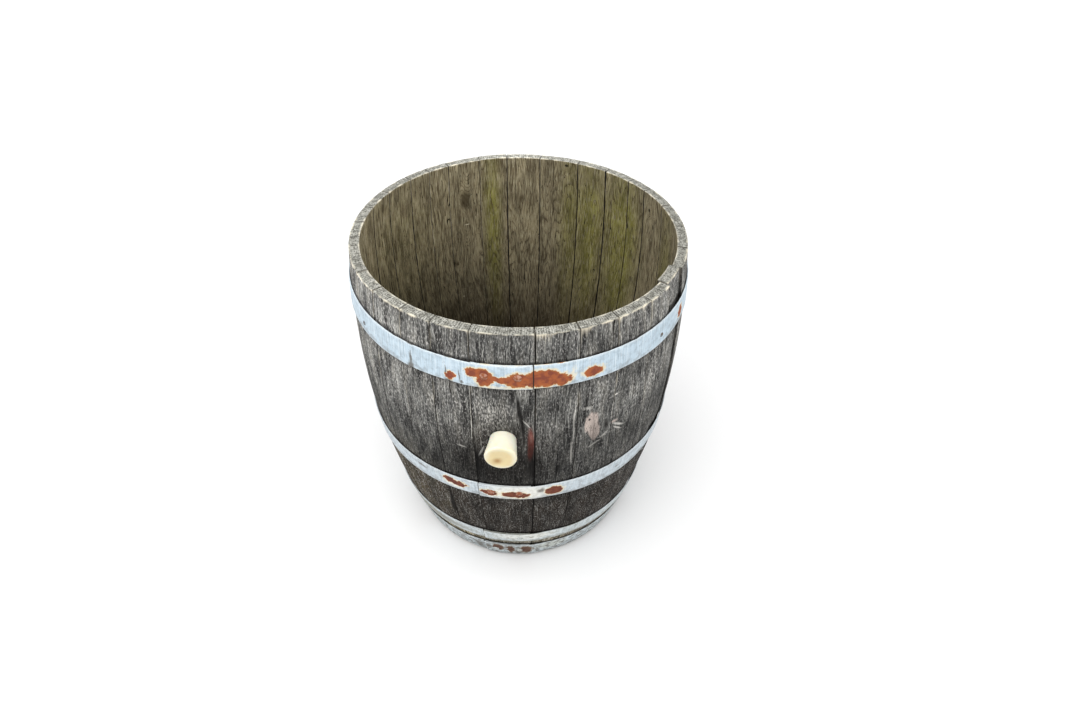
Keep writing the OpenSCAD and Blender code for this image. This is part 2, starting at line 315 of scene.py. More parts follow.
class Block:
    """A block cut into a grid, whose points know their place in it, ready to be bent."""

    def __init__(self, cells: tuple[int, int, int]) -> None:
        """Cuts a unit cube into cells.

        Args:
            cells: The number of cells across, in depth and up.
        """
        self.cells = np.array(cells)
        bm = bmesh.new()
        bmesh.ops.create_cube(bm, size=1.0)
        for axis, count in enumerate(cells):
            runs = [e for e in bm.edges if abs(e.verts[0].co[axis] - e.verts[1].co[axis]) > 0.5]
            bmesh.ops.subdivide_edges(bm, edges=runs, cuts=count - 1, use_grid_fill=True)
        self.mesh = bpy.data.meshes.new("block")
        bm.to_mesh(self.mesh)
        bm.free()
        place, corners = points_and_corners(self.mesh)
        self.index = np.rint((place + 0.5) * self.cells).astype(int)
        self.corners = corners.reshape(-1, 4)
        spots = self.index[self.corners]
        ends = np.hstack([(spots == 0).all(axis=1), (spots == self.cells).all(axis=1)])
        self.side = np.argmax(ends, axis=1)

    def at(self, side: Side) -> np.ndarray:
        """Tells which points lie on a side."""
        axis = side % 3
        return self.index[:, axis] == (0 if side < 3 else self.cells[axis])

    def piece(
        self,
        name: str,
        points: np.ndarray,
        flat: np.ndarray,
        finishes: dict[Side, int],
        materials: list[Material],
        marks: dict[str, np.ndarray],
    ) -> Object:
        """Makes an object of the bent block.

        Args:
            name: The object's name.
            points: The points' places in the row frame.
            flat: The points' places across, in depth and up before bending, for the grain map.
            finishes: The number of the material on each side. A side left out has the first.
            materials: The object's materials.
            marks: Values for each point, which the materials read.

        Returns:
            The object, linked to the scene.
        """
        mesh = self.mesh.copy()
        mesh.name = name
        mesh.vertices.foreach_set("co", points.ravel())
        axes = np.array([(1, 2), (0, 2), (0, 1)])[self.side % 3]
        corners = np.repeat(axes[:, None, :], 4, axis=1)
        uv = np.take_along_axis(flat[self.corners], corners, axis=2)
        mesh.uv_layers.new(name=GRAIN_MAP).data.foreach_set("uv", uv.ravel())
        slots = np.zeros(len(self.side), int)
        for side, slot in finishes.items():
            slots[self.side == side] = slot
        mesh.polygons.foreach_set("material_index", slots)
        mesh.shade_smooth()
        mark_points(mesh, marks)
        for material in materials:
            mesh.materials.append(material)
        mesh.update()
        return linked(name, mesh)


def turned(outline: list[tuple[float, float]], steps: int) -> BMesh:
    """Turns an outline about the Z axis, as on a lathe.

    Args:
        outline: Points of radius and height, from the axis round to the axis again.
        steps: The number of steps in the full turn.

    Returns:
        The closed shape.
    """
    bm = bmesh.new()
    points = [bm.verts.new((radius, 0.0, height)) for radius, height in outline]
    geom = points + [bm.edges.new(pair) for pair in zip(points, points[1:])]
    bmesh.ops.spin(
        bm, geom=geom, cent=(0, 0, 0), axis=(0, 0, 1), angle=math.tau, steps=steps, use_merge=True
    )
    bmesh.ops.remove_doubles(bm, verts=bm.verts, dist=WELD)
    bmesh.ops.recalc_face_normals(bm, faces=bm.faces)
    return bm


def finished(bm: BMesh, name: str, *materials: Material) -> Object:
    """Makes a smooth object of a mesh in the making.

    Args:
        bm: The mesh, which is freed.
        name: The object's name.
        materials: Its materials.

    Returns:
        The object, linked to the scene.
    """
    mesh = bpy.data.meshes.new(name)
    bm.to_mesh(mesh)
    bm.free()
    mesh.shade_smooth()
    for material in materials:
        mesh.materials.append(material)
    return linked(name, mesh)


def install(piece: Object, body: str, slot: str, *nodes: str) -> None:
    """Fixes a piece to its body, in place of CAD nodes.

    Args:
        piece: The finished object.
        body: The CAD body that it moves with.
        slot: Not used.
        nodes: The CAD nodes that it stands for.
    """
    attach(piece, body)
    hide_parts(*nodes)
    log.info("%s: %d faces", piece.name, len(piece.data.polygons))


# ---- the cask's form ----


@dataclass(frozen=True)
class Cask:
    """The form that every stave and hoop follows. Lengths are in metres."""

    height: float = 0.740
    bilge_z: float = 0.487
    bilge_r: float = 0.340
    base_r: float = 0.273
    wall: float = 0.020
    croze_z: float = 0.045
    croze_w: float = 0.005
    croze_d: float = 0.005
    howel_d: float = 0.002
    howel_r: float = 0.070
    chime_h: float = 0.022
    chime_w: float = 0.008

    @property
    def bow_r(self) -> float:
        """Radius of the circle that the staves are bowed to."""
        step = self.bilge_r - self.base_r
        return (self.bilge_z**2 + step**2) / (2 * step)

    def outer_r(self, z: np.ndarray, sunk: float = 0.0) -> np.ndarray:
        """Radius of the staves' outer surface at a height, or of one sunk below it."""
        bow = self.bow_r - sunk
        return self.bilge_r - self.bow_r + np.sqrt(bow**2 - (z - self.bilge_z) ** 2)

    def inner_r(self, z: np.ndarray) -> np.ndarray:
        """Radius of the inner surface, with the howel, the croze and the chime bevel.

        Args:
            z: The heights.

        Returns:
            The radius at each height.
        """
        howel_top = self.outer_r(self.croze_z, self.wall) + self.howel_d
        reach = np.clip(z - self.croze_z, -self.howel_r, self.howel_r)
        howel = howel_top - self.howel_r + np.sqrt(self.howel_r**2 - reach**2)
        in_croze = abs(z - self.croze_z) < self.croze_w / 2
        croze = np.where(in_croze, howel_top + self.croze_d, 0.0)
        chime = self.outer_r(0, self.wall) + self.chime_w * (1 - z / self.chime_h)
        return np.maximum.reduce([self.outer_r(z, self.wall), howel, croze, chime])

    @staticmethod
    def points(azimuth: np.ndarray, radius: np.ndarray, z: np.ndarray) -> np.ndarray:
        """Points of the row frame. Azimuths run counter-clockwise from the front, in radians."""
        return np.column_stack([radius * np.sin(azimuth), -radius * np.cos(azimuth), z])


CASK = Cask()


# ---- finishes ----


@dataclass(frozen=True)
class Spot:
    """A mark on a stave: its azimuth in degrees, its height, its half width and half length in
    metres, how far it is turned in degrees, and its strength."""

    azimuth: float
    z: float
    half_width: float
    half_length: float
    turn: float = 0.0
    strength: float = 1.0


@dataclass(frozen=True)
class Touch:
    """A colour on some spots of the wood, broken up by its fibres. It begins where spot and fibre
    together reach low and is full at high."""

    colour: str
    low: float
    high: float
    most: float
    spots: tuple[Spot, ...]


class Finish:
    """A finish, which makes its material from its own surface."""

    name: str

    def surface(self, add: AddNode) -> dict[str, object]:
        """Adds the surface's nodes.

        Args:
            add: Adds a node to the material.

        Returns:
            A value or an output for each input of the Principled shader that is set.
        """
        raise NotImplementedError

    def material(self) -> Material:
        """Makes the material.

        Returns:
            The material, with the surface on its output.
        """
        material = bpy.data.materials.new(self.name)
        material.use_nodes = True
        material.node_tree.nodes.clear()
        add = partial(add_node, material.node_tree)
        add("OutputMaterial", {"Surface": add("BsdfPrincipled", self.surface(add))})
        return material


@dataclass(frozen=True)
class Oak(Finish):
    """Oak that has stood outdoors for years: the soft early wood has worn away, so the surface is
    ridged along the grain, silver-grey on its ridges and near black in its pores and checks."""

    name: str
    hollow: str
    ridge: str
    tint: str
    fleck: str
    ring: str
    check: str
    stain: str
    moss: str
    worn: str
    bare: str = "#a08a82"
    fibre_w: float = 0.0026
    fibre_l: float = 0.045
    speck_w: float = 0.0022
    speck_l: float = 0.007
    cloud: float = 0.42
    ring_count: float = 22.0
    fleck_share: float = 0.6
    ring_share: float = 0.5
    bump: float = 0.6
    hooped: tuple[tuple[float, float], ...] = ()
    knots: tuple[Spot, ...] = ()
    touches: tuple[Touch, ...] = ()

    @staticmethod
    def grain(add: AddNode) -> NodeSocket:
        """The grain map, swayed a little to and fro as grain is.

        Args:
            add: Adds a node.

        Returns:
            The output with the map.
        """
        flat = add("UVMap", uv_map=GRAIN_MAP)
        slow = add("Mapping", {"Vector": flat, "Scale": (28.0, 7.0, 1.0)})
        waves = {"Vector": slow, "Scale": 1.0, "Detail": 2.0}
        sway = add("TexNoise", waves, noise_dimensions="2D")
        aside = add("CombineXYZ", {"X": add("MapRange", {"Value": sway, 3: -0.006, 4: 0.006})})
        return add("VectorMath", {0: flat, 1: aside}, operation="ADD")

    @staticmethod
    def fibres(add: AddNode, grain: NodeSocket, width: float, length: float, detail: float) -> NodeSocket:
        """Streaks that run with the grain.

        Args:
            add: Adds a node.
            grain: The grain map.
            width: How wide a streak is, in metres.
            length: How long it is.
            detail: How finely it breaks up.

        Returns:
            The output with the streaks' strength.
        """
        drawn = add("Mapping", {"Vector": grain, "Scale": (1 / width, 1 / length, 1.0)})
        streaks = {"Vector": drawn, "Scale": 1.0, "Detail": detail, "Roughness": 0.62}
        return add("TexNoise", streaks, noise_dimensions="2D")

    @staticmethod
    def near(
        add: AddNode, grain: NodeSocket, spots: tuple[Spot, ...], reach: float
    ) -> NodeSocket | float:
        """A field with a smooth mound on each spot.

        Args:
            add: Adds a node.
            grain: The grain map.
            spots: The spots, with azimuth and z as places on the grain map.
            reach: How far a mound's foot lies, in half sizes of its spot.

        Returns:
            The field.
        """
        mounds = []
        for spot in spots:
            halves = (spot.half_width, spot.half_length)
            off = distance(add, grain, (spot.azimuth, spot.z), halves, spot.turn)
            mound = {"Value": off, 2: reach, 3: spot.strength, 4: 0.0}
            mounds.append((add("MapRange", mound, interpolation_type="SMOOTHSTEP"), 1.0))
        return summed(add, 0.0, *mounds)

    def figure(self, add: AddNode, grain: NodeSocket) -> NodeSocket:
        """Growth rings as the saw met them: level lines of a long swell, closed round knots.

        Args:
            add: Adds a node.
            grain: The grain map.

        Returns:
            The output that is 1 on the dark edge of a ring and 0 between rings.
        """
        swell = self.fibres(add, grain, 0.055, 0.50, 1.0)
        fray = self.fibres(add, grain, 0.004, 0.05, 1.0)
        knotty = self.near(add, grain, self.knots, 2.0)
        swell = summed(add, swell, (knotty, 0.40), (fray, 0.014))
        rings = add("Math", {0: swell, 1: self.ring_count}, operation="MULTIPLY")
        phase = add("Math", {0: rings}, operation="FRACT")
        return add("MapRange", {"Value": phase, 1: 0.60, 2: 0.95})

    def hoop_edge_shadow(self, add: AddNode) -> NodeSocket | float:
        """Painted shadow along the hoops' edges, where each hoop shades the wood just above and below it.

        Args:
            add: Adds a node.

        Returns:
            The field that is strong behind each hoop and fades out just past its edges.
        """
        height = add("SeparateXYZ", {"Vector": add("TexCoord", None, "Object")}, "Z")
        lines = []
        for low, width in self.hooped:
            off = add("Math", {0: height, 1: low + width / 2}, operation="SUBTRACT")
            off = add("Math", {0: off}, operation="ABSOLUTE")
            edge = {"Value": off, 1: width / 2 + 0.005, 2: width / 2 + 0.001, 4: 0.65}
            lines.append((add("MapRange", edge), 1.0))
        return summed(add, 0.0, *lines)

    def surface(self, add: AddNode) -> dict[str, object]:
        """Lays rings, streaks, checks, moss, stains and touches over the ridged wood, and painted shadow
        along the hoops' edges.

        Args:
            add: Adds a node.

        Returns:
            What each input of the shader takes.
        """
        tone, damp, moss, worn, bare, cleft = (
            add("Attribute", None, "Fac", attribute_name=mark) for mark in WOOD_MARKS
        )
        grain = self.grain(add)
        coarse = self.fibres(add, grain, self.fibre_w, self.fibre_l, 4.0)
        fine = self.fibres(add, grain, self.speck_w, self.speck_l, 3.0)
        broad = self.fibres(add, grain, 0.016, 0.090, 4.0)
        split = self.fibres(add, grain, 0.0085, 0.16, 1.0)
        patches = self.fibres(add, grain, 0.034, 0.090, 2.0)
        rings = self.figure(add, grain)
        pits = add("MapRange", {"Value": fine, 1: 0.44, 2: 0.32, 4: 0.7})
        # a check is where the slow streak crosses its middle value, so it is thin and very long
        crossing = add("Math", {0: split, 1: 0.5, 2: 0.0065}, operation="COMPARE")
        patchy = add("MapRange", {"Value": broad, 1: 0.40, 2: 0.56})
        checks = add("Math", {0: crossing, 1: patchy}, operation="MULTIPLY")
        touches = []
        for touch in self.touches:
            ragged = summed(add, self.near(add, grain, touch.spots, 1.6), (fine, 0.9))
            touches.append((touch.colour, ragged, touch.low, touch.high, touch.most))
        colour = coated(
            add,
            self.hollow,
            (self.ridge, summed(add, 0.0, (coarse, 0.56), (broad, 0.44)), 0.40, 0.60),
            (self.tint, broad, 0.46, 0.66, 0.7),
            (self.moss, summed(add, moss, (coarse, 0.9)), 0.45, 1.25, 0.80),
            # on the outside the damp mark also holds painted shade low on the belly and a painted shadow
            # line under each hoop
            (self.stain, summed(add, damp, (coarse, 0.9)), 0.45, 1.25, 0.85),
            (self.ring, rings, 0.0, 1.0, self.ring_share),
            (self.fleck, coarse, 0.56, 0.72, 0.45),
            (self.fleck, fine, 0.57, 0.69, self.fleck_share),
            (self.bare, summed(add, bare, (broad, 0.9)), 0.75, 1.05, 0.9),
            (self.ring, pits),
            (self.check, checks),
            *touches,
            (self.worn, summed(add, worn, (coarse, 0.9)), 0.60, 1.15),
            (self.check, cleft),
            # painted shadow: the check colour laid along each hoop's edges, as the shade that the hoop
            # casts on the wood
            (self.check, self.hoop_edge_shadow(add)),
        )
        cloudy = {"Value": summed(add, broad, (patches, 1.6)), 1: 0.95, 2: 1.65}
        cloudy = add("MapRange", {**cloudy, 3: 1 - self.cloud, 4: 1 + self.cloud})
        level = add("Math", {0: tone, 1: cloudy}, operation="MULTIPLY")
        grooves = ((fine, 0.5), (checks, -0.8), (rings, -0.25), (pits, -0.3))
        relief = {"Distance": 0.0012, "Height": summed(add, coarse, *grooves)}
        return {
            "Base Color": add("HueSaturation", {"Color": colour, "Value": level}),
            "Roughness": 0.88,
            "IOR": 1.5,
            # open pores and loose fibres swallow most of the gloss of sound oak
            "Specular IOR Level": 0.10,
            "Normal": add("Bump", {"Strength": self.bump, **relief}),
        }


@dataclass(frozen=True)
class EndGrain(Finish):
    """Sawn oak end grain gone pale in the weather: it shows rings across the stave's thickness,
    dark open pores and cream fibres where the arrises are worn."""

    name: str = "oak_end_grain_weathered"
    body: str = "#b9b8af"
    dirt: str = "#6c6b63"
    pore: str = "#3a3833"
    worn: str = "#ece6d2"
    cleft: str = "#15120f"
    ring_w: float = 0.0042

    def surface(self, add: AddNode) -> dict[str, object]:
        """Lays dirt, rings, pores, worn arrises and clefts over the pale wood.

        Args:
            add: Adds a node.

        Returns:
            What each input of the shader takes.
        """
        worn, cleft, tone = (
            add("Attribute", None, "Fac", attribute_name=m) for m in ("worn", "cleft", "tone")
        )
        grain = add("UVMap", uv_map=GRAIN_MAP)
        slant = {"Rotation": (0.0, 0.0, math.radians(14)), "Scale": (1.0, 0.35, 1.0)}
        wave = {
            "Vector": add("Mapping", {"Vector": grain, **slant}),
            # at scale 1 the texture's waves are tau / 20 long
            "Scale": 0.05 * math.tau / self.ring_w,
            "Distortion": 4.5,
            "Detail": 3.0,
            "Detail Scale": 1.9,
        }
        rings = add("TexWave", wave, "Fac", bands_direction="X")
        blots = {"Vector": grain, "Scale": 90.0, "Detail": 3.0, "Roughness": 0.6}
        blots = add("TexNoise", blots, noise_dimensions="2D")
        grit = {"Vector": grain, "Scale": 340.0, "Detail": 2.0}
        grit = add("TexNoise", grit, noise_dimensions="2D")
        pores = add("MapRange", {"Value": grit, 1: 0.50, 2: 0.66, 4: 0.85})
        colour = coated(
            add,
            self.body,
            (self.dirt, blots, 0.36, 0.66, 0.8),
            (self.pore, rings, 0.35, 1.0, 0.50),
            (self.pore, pores),
            (self.worn, summed(add, worn, (blots, 0.7)), 0.55, 1.15),
            (self.cleft, cleft),
        )
        relief = {"Distance": 0.001, "Height": summed(add, blots, (pores, -0.6))}
        return {
            "Base Color": add("HueSaturation", {"Color": colour, "Value": tone}),
            "Roughness": 0.85,
            "IOR": 1.5,
            # the open ends of the pores swallow gloss as the weathered faces do
            "Specular IOR Level": 0.10,
            "Normal": add("Bump", {"Strength": 0.45, **relief}),
        }


@dataclass(frozen=True)
class Blotch:
    """A stain on a hoop: its azimuth in degrees, its height in metres, its half width in degrees
    and its half height in metres."""

    azimuth: float
    height: float
    half_angle: float
    half_height: float


def blotches(*rows: tuple[float, float, float, float]) -> tuple[Blotch, ...]:
    """Makes stains of rows with their azimuth, height, half width and half height."""
    return tuple(Blotch(*row) for row in rows)


@dataclass(frozen=True)
class ZincedIron(Finish):
    """Hot-dip galvanised hoop iron, dulled outdoors: a pale blue-grey oxide bloom that hardly
    mirrors, with run marks, and flat orange rust with a chalky rim where the zinc has gone."""

    rust: tuple[Blotch, ...]
    grime: tuple[Blotch, ...] = ()
    chalk: tuple[Blotch, ...] = ()
    name: str = "zinced_iron"
    radius: float = 0.3
    bright: str = "#c6d8e4"
    dull: str = "#a6b8c4"
    run: str = "#76858f"
    chalky: str = "#e6e0cc"
    pale_run_and_edge_glint: str = "#f3f8fa"
    rust_dark: str = "#854430"
    rust_light: str = "#a95c33"
    rust_edge: str = "#c1803c"
    halo: str = "#ead9b2"
    dirt: str = "#5d574d"
    shade: str = "#2a241f"
    mottle: float = 0.0
    soil: float = 0.06
    seam: float = 0.0

    def stains(self, add: AddNode, stains: tuple[Blotch, ...], seen: NodeSocket) -> NodeSocket | float:
        """The field of several stains: 1 in the middle of each, 0 on its rim and below outside.

        Args:
            add: Adds a node.
            stains: The stains.
            seen: The hoop's map, frayed.

        Returns:
            The field.
        """
        total = -9.0
        for stain in stains:
            middle = (math.radians(stain.azimuth) * self.radius, stain.height)
            halves = (math.radians(stain.half_angle) * self.radius, stain.half_height)
            off = distance(add, seen, middle, halves)
            inside = add("Math", {0: 1.0, 1: off}, operation="SUBTRACT")
            total = add("Math", {0: inside, 1: total, 2: 0.25}, operation="SMOOTH_MAX")
        return total

    def surface(self, add: AddNode) -> dict[str, object]:
        """Lays bloom, run marks, dirt and rust over the zinc, with a painted highlight along the strip's
        edges and a painted shadow line by the lap's end.

        Args:
            add: Adds a node.

        Returns:
            What each input of the shader takes.
        """
        edge, low = (add("Attribute", None, "Fac", attribute_name=mark) for mark in ("worn", "damp"))
        around = add("UVMap", uv_map=GRAIN_MAP)
        down = add("Mapping", {"Vector": around, "Scale": (420.0, 12.0, 1.0)})
        clouds = (
            {"Vector": around, "Scale": 95.0, "Detail": 2.0},
            {"Vector": around, "Scale": 75.0, "Detail": 5.0},
            {"Vector": around, "Scale": 85.0, "Detail": 4.0},
            {"Vector": around, "Scale": 240.0, "Detail": 3.0},
            {"Vector": down, "Scale": 1.0, "Detail": 3.0},
        )
        fray, bloom, patch, crust, runs = (
            add("TexNoise", cloud | {"Roughness": 0.62}, noise_dimensions="2D") for cloud in clouds
        )
        fray = {0: fray.node.outputs["Color"], 1: (0.5, 0.5, 0.5)}
        fray = add("VectorMath", fray, operation="SUBTRACT")
        frayed, streaked = (
            add("VectorMath", {0: fray, 1: reach, 2: around}, operation="MULTIPLY_ADD")
            for reach in ((0.018, 0.011, 0.0), (0.005, 0.010, 0.0))
        )
        grime = self.stains(add, self.grime, streaked)
        chalk = self.stains(add, self.chalk, frayed)
        rust = self.stains(add, self.rust, frayed)
        rusted = add("MapRange", {"Value": rust, 1: -0.03, 2: 0.05})
        rust_coats = ((self.rust_dark, bloom, 0.40, 0.60), (self.rust_edge, rust, 0.22, 0.0, 0.7))
        rust_colour = coated(add, self.rust_light, *rust_coats)
        # the shadow line on the inner layer, just past the outer layer's end
        along = add("SeparateXYZ", {"Vector": around}, "X")
        seam = add("Math", {0: along, 1: self.seam, 2: 0.0013}, operation="COMPARE")
        colour = coated(
            add,
            self.bright,
            (self.dull, bloom, 0.42, 0.62, 0.55),
            (self.run, runs, 0.55, 0.74, 0.42),
            (self.pale_run_and_edge_glint, runs, 0.45, 0.30, 0.4),
            (self.run, crust, 0.64, 0.74, 0.45),
            (self.chalky, chalk, 0.0, 0.5, 0.8),
            (self.dirt, patch, 0.47, 0.62, self.mottle),
            # painted highlight: a pale glint along the strip's edges, from its worn mark
            (self.pale_run_and_edge_glint, edge, 0.2, 1.0, 0.5),
            (self.dirt, summed(add, low, (bloom, 0.9)), 0.60, 1.30, 0.9),
            (self.halo, rust, -0.30, -0.04, 0.8),
            (self.dirt, grime, 0.0, 0.6, 0.85),
            (rust_colour, rusted),
            (self.shade, seam),
        )
        height = summed(add, bloom, (rusted, 0.5), (crust, 0.25))
        return {
            "Base Color": colour,
            "Metallic": add("MapRange", {"Value": rusted, 3: 0.40, 4: 0.0}),
            "Roughness": add("MapRange", {"Value": rusted, 3: 0.50, 4: 0.9}),
            "Normal": add("Bump", {"Strength": 0.3, "Distance": 0.001, "Height": height}),
        }


@dataclass(frozen=True)
class HammeredSteel(Finish):
    """Zinc-plated steel of rivet and nail heads: satin grey where it is sound, browned by rust in
    the hollows that the hammer left."""

    name: str
    metal: str
    rust: str
    rust_from: float
    rust_to: float
    metallic: float = 0.8

    def surface(self, add: AddNode) -> dict[str, object]:
        """Lays rust over the steel, in patches.

        Args:
            add: Adds a node.

        Returns:
            What each input of the shader takes.
        """
        place = add("TexCoord", None, "Object")
        patches = {"Vector": place, "Scale": 210.0, "Detail": 3.0, "Roughness": 0.6}
        patch = add("TexNoise", patches)
        rusty = add("MapRange", {"Value": patch, 1: self.rust_from, 2: self.rust_to})
        return {
            "Base Color": coated(add, self.metal, (self.rust, rusty)),
            "Metallic": add("MapRange", {"Value": rusty, 3: self.metallic, 4: 0.0}),
            "Roughness": add("MapRange", {"Value": rusty, 3: 0.42, 4: 0.85}),
            "Normal": add("Bump", {"Strength": 0.3, "Distance": 0.0006, "Height": patch}),
        }


@dataclass(frozen=True)
class Silicone(Finish):
    """Moulded silicone: ivory, satin and a little clear at its edges, yellowed on its outer end,
    with a brown spot where wine has dried in."""

    name: str = "silicone_ivory"
    body: str = "#f6f2de"
    yellowed: str = "#e9d08c"
    spot: str = "#ae8048"

    def surface(self, add: AddNode) -> dict[str, object]:
        """Lays the yellowing and the wine spot over the ivory.

        Args:
            add: Adds a node.

        Returns:
            What each input of the shader takes.
        """
        place = add("TexCoord", None, "Object")
        clouds = {"Vector": place, "Scale": 60.0, "Detail": 3.0, "Roughness": 0.55}
        cloud = add("TexNoise", clouds)
        coats = []
        for mark, coat, most in (("aged", self.yellowed, 0.75), ("spot", self.spot, 0.9)):
            value = add("Attribute", None, "Fac", attribute_name=mark)
            coats.append((coat, summed(add, value, (cloud, 0.6)), 0.35, 1.3, most))
        return {
            "Base Color": coated(add, self.body, *coats),
            "Roughness": 0.42,
            "IOR": 1.41,
            "Subsurface Weight": 0.35,
            "Subsurface Radius": (0.008, 0.006, 0.004),
            "Subsurface Scale": 1.0,
        }


@dataclass(frozen=True)
class StudioPaint(Finish):
    """Matt white paint of the studio floor, which lights the cask from below as grey would."""

    name: str = "studio_floor_matt_white"
    seen: str = "#fafafa"
    felt: str = "#dadada"
    glow: float = 0.45

    def surface(self, add: AddNode) -> dict[str, object]:
        """Makes the floor white to the eye and grey to the light, and glow far from the cask.

        Args:
            add: Adds a node.

        Returns:
            What each input of the shader takes.
        """
        direct = direct_rays(add)
        place = add("TexCoord", None, "Object")
        away = add("VectorMath", {0: place}, "Value", operation="LENGTH")
        glow = add("MapRange", {"Value": away, 1: 0.7, 2: 3.0, 4: self.glow})
        return {
            "Base Color": coated(add, self.felt, (self.seen, direct)),
            "Roughness": 0.9,
            "IOR": 1.3,
            "Emission Color": linear(self.seen),
            "Emission Strength": add("Math", {0: glow, 1: direct}, operation="MULTIPLY"),
        }


# ---- staves ----


def grain_shift(number: int) -> np.ndarray:
    """Where a stave's grain map starts across, in depth and up, so that no two staves match."""
    return np.array([0.9 * number, 0.13 * number, 1.7 * number])


def humps(
    azimuth: np.ndarray, z: np.ndarray, *rows: tuple[float, float, float, float, float]
) -> np.ndarray:
    """Adds up bells on the cask's surface.

    Args:
        azimuth: The azimuths in degrees.
        z: The heights.
        rows: Each bell's strength, azimuth, width round the cask, height and width upwards.

    Returns:
        The sum at each point.
    """
    return sum(most * hump(azimuth, a, wide) * hump(z, b, high) for most, a, wide, b, high in rows)


@dataclass(frozen=True)
class Weather:
    """What years outdoors have done to the cask, by azimuth in degrees and height in metres."""

    mossy: tuple[tuple[float, float, float], ...] = (
        (-165.5, 3.6, 0.95), (160.0, 4.5, 0.6), (150.0, 5.5, 0.9), (133.0, 8.5, 1.1), (102.0, 5.5, 0.5),
        (-118.0, 22.0, 0.18),
    )
    open_joints: dict[int, float] = field(
        default_factory=lambda: {
            1: 0.0002, 2: 0.0007, 6: 0.0005, 7: 0.0006, 10: 0.0008, 11: 0.0011, 12: 0.0002,
            13: 0.0014, 14: 0.0008, 15: 0.0006, 16: 0.0008, 20: 0.0005, 21: 0.0007, 22: 0.0010,
        }
    )

    def inner_moss(self, azimuth: np.ndarray, z: np.ndarray) -> np.ndarray:
        """Green algae inside the cask, by stave, thinner towards the dark bottom."""
        moss = sum(share * hump(azimuth, middle, width) for middle, width, share in self.mossy)
        return moss * (0.35 + 0.65 * rise(0.15, 0.60, z)) * (1 - 0.5 * rise(0.63, 0.71, z))

    @staticmethod
    def outer_moss(azimuth: np.ndarray, z: np.ndarray) -> np.ndarray:
        """Green-brown film low on the left and round the back.

        Args:
            azimuth: The azimuths.
            z: The heights.

        Returns:
            How thick the film is.
        """
        left = 0.95 * (1 - rise(0.20, 0.46, z)) * rise(8, 45, -azimuth)
        back = 0.4 * (1 - rise(0.2, 0.5, z)) * rise(110, 150, abs(azimuth))
        return left + back + 0.5 * (1 - rise(0.09, 0.12, z))

    @staticmethod
    def outer_damp(azimuth: np.ndarray, z: np.ndarray) -> np.ndarray:
        """Dark stains round the bung; darker low on the belly, partly damp and partly painted shade; and
        a painted shadow line under each hoop's lower edge.

        Args:
            azimuth: The azimuths.
            z: The heights.

        Returns:
            How dark the stains are, from 0 to 1.
        """
        bung = humps(azimuth, z, (0.75, -4, 15, 0.455, 0.085))
        # darker low down: partly damp, partly painted shade of the belly turning down
        low = 0.8 * (1 - rise(0.26, 0.40, z)) * rise(0.10, 0.14, z)
        # painted shadow: a dark line just under each of the upper three hoops
        edges = [edge for edge, _ in HOOP_BANDS[:3]]
        hoop_shadow = sum(0.6 * np.exp(-np.clip(e - z, 0, 1) / 0.006) * (z < e) for e in edges)
        return np.clip(bung + low + hoop_shadow, 0, 1)

    @staticmethod
    def outer_tone(azimuth: np.ndarray, z: np.ndarray) -> np.ndarray:
        """How light the outside is, with painted light and shade: darker below the bilge and in front,
        lighter on the flanks and on the right.

        Args:
            azimuth: The azimuths.
            z: The heights.

        Returns:
            The lightness, about 1.
        """
        # painted light: the flanks and the right lighter, the front darker, as the light falls on the
        # cask
        right = np.clip(azimuth / 32, -1, 1)
        front = 0.12 * hump(azimuth, 20, 11) - 0.14 * hump(azimuth, -4, 12)
        flank_light = 0.45 * rise(10, 50, abs(azimuth - 8)) + front * rise(0.6, 0.66, z)
        bleached = (0.10 - 0.09 * right) * rise(0.62, 0.70, z) * rise(20, 50, abs(azimuth))
        # darker below the bilge, partly damp and partly painted shade of the belly turning down; the last
        # term of the next line is painted light in the gap between the lowest two hoops, where their
        # shade falls
        height = 0.44 + 0.045 * rise(0.34, 0.42, z) + 0.38 * rise(0.44, 0.53, z)
        height = height + 0.25 * rise(0.50, 0.62, z) + 1.0 * (1 - rise(0.09, 0.12, z))
        stained = 1 - humps(azimuth, z, (0.66, -8, 26, 0.41, 0.07))
        left_and_right = ((0.22, -38, 16, 0.51, 0.05), (0.28, 28, 16, 0.43, 0.06))
        sunny = 1 + humps(azimuth, z, *left_and_right, (-0.18, -7, 12, 0.575, 0.03))
        left = 0.58 * rise(20, 40, -azimuth) * (1 - 0.6 * rise(70, 110, -azimuth))
        sunny = sunny + (1 - rise(0.30, 0.38, z)) * (0.05 - 0.08 * right + left)
        return (0.16 + height * (0.97 + flank_light) * (1 + bleached) * sunny) * stained

    @staticmethod
    def inner_tone(azimuth: np.ndarray, z: np.ndarray) -> np.ndarray:
        """How light the inside is: darker towards the bottom, lighter high on the left and darker low on
        the left.

        Args:
            azimuth: The azimuths.
            z: The heights.

        Returns:
            The lightness, about 1.
        """
        left = -np.sin(np.radians(azimuth))
        left_by_height = 0.26 * left * np.clip((z - 0.49) / 0.16, -1, 1)
        damp = 0.2 * np.clip(left, 0, 1) * hump(z, 0.46, 0.12)
        return 0.46 + 1.00 * rise(0.12, 0.68, z) + left_by_height - damp

    @staticmethod
    def rim_tone(azimuth: np.ndarray) -> np.ndarray:
        """How light the rim is: painted light, much lighter at the back, where the rim catches the light
        at a glancing angle, and a little lighter on the left.
        """
        turn = np.radians(azimuth)
        return 0.93 - 0.05 * np.sin(turn) + 0.50 * np.clip(-np.cos(turn), 0, 1) ** 4

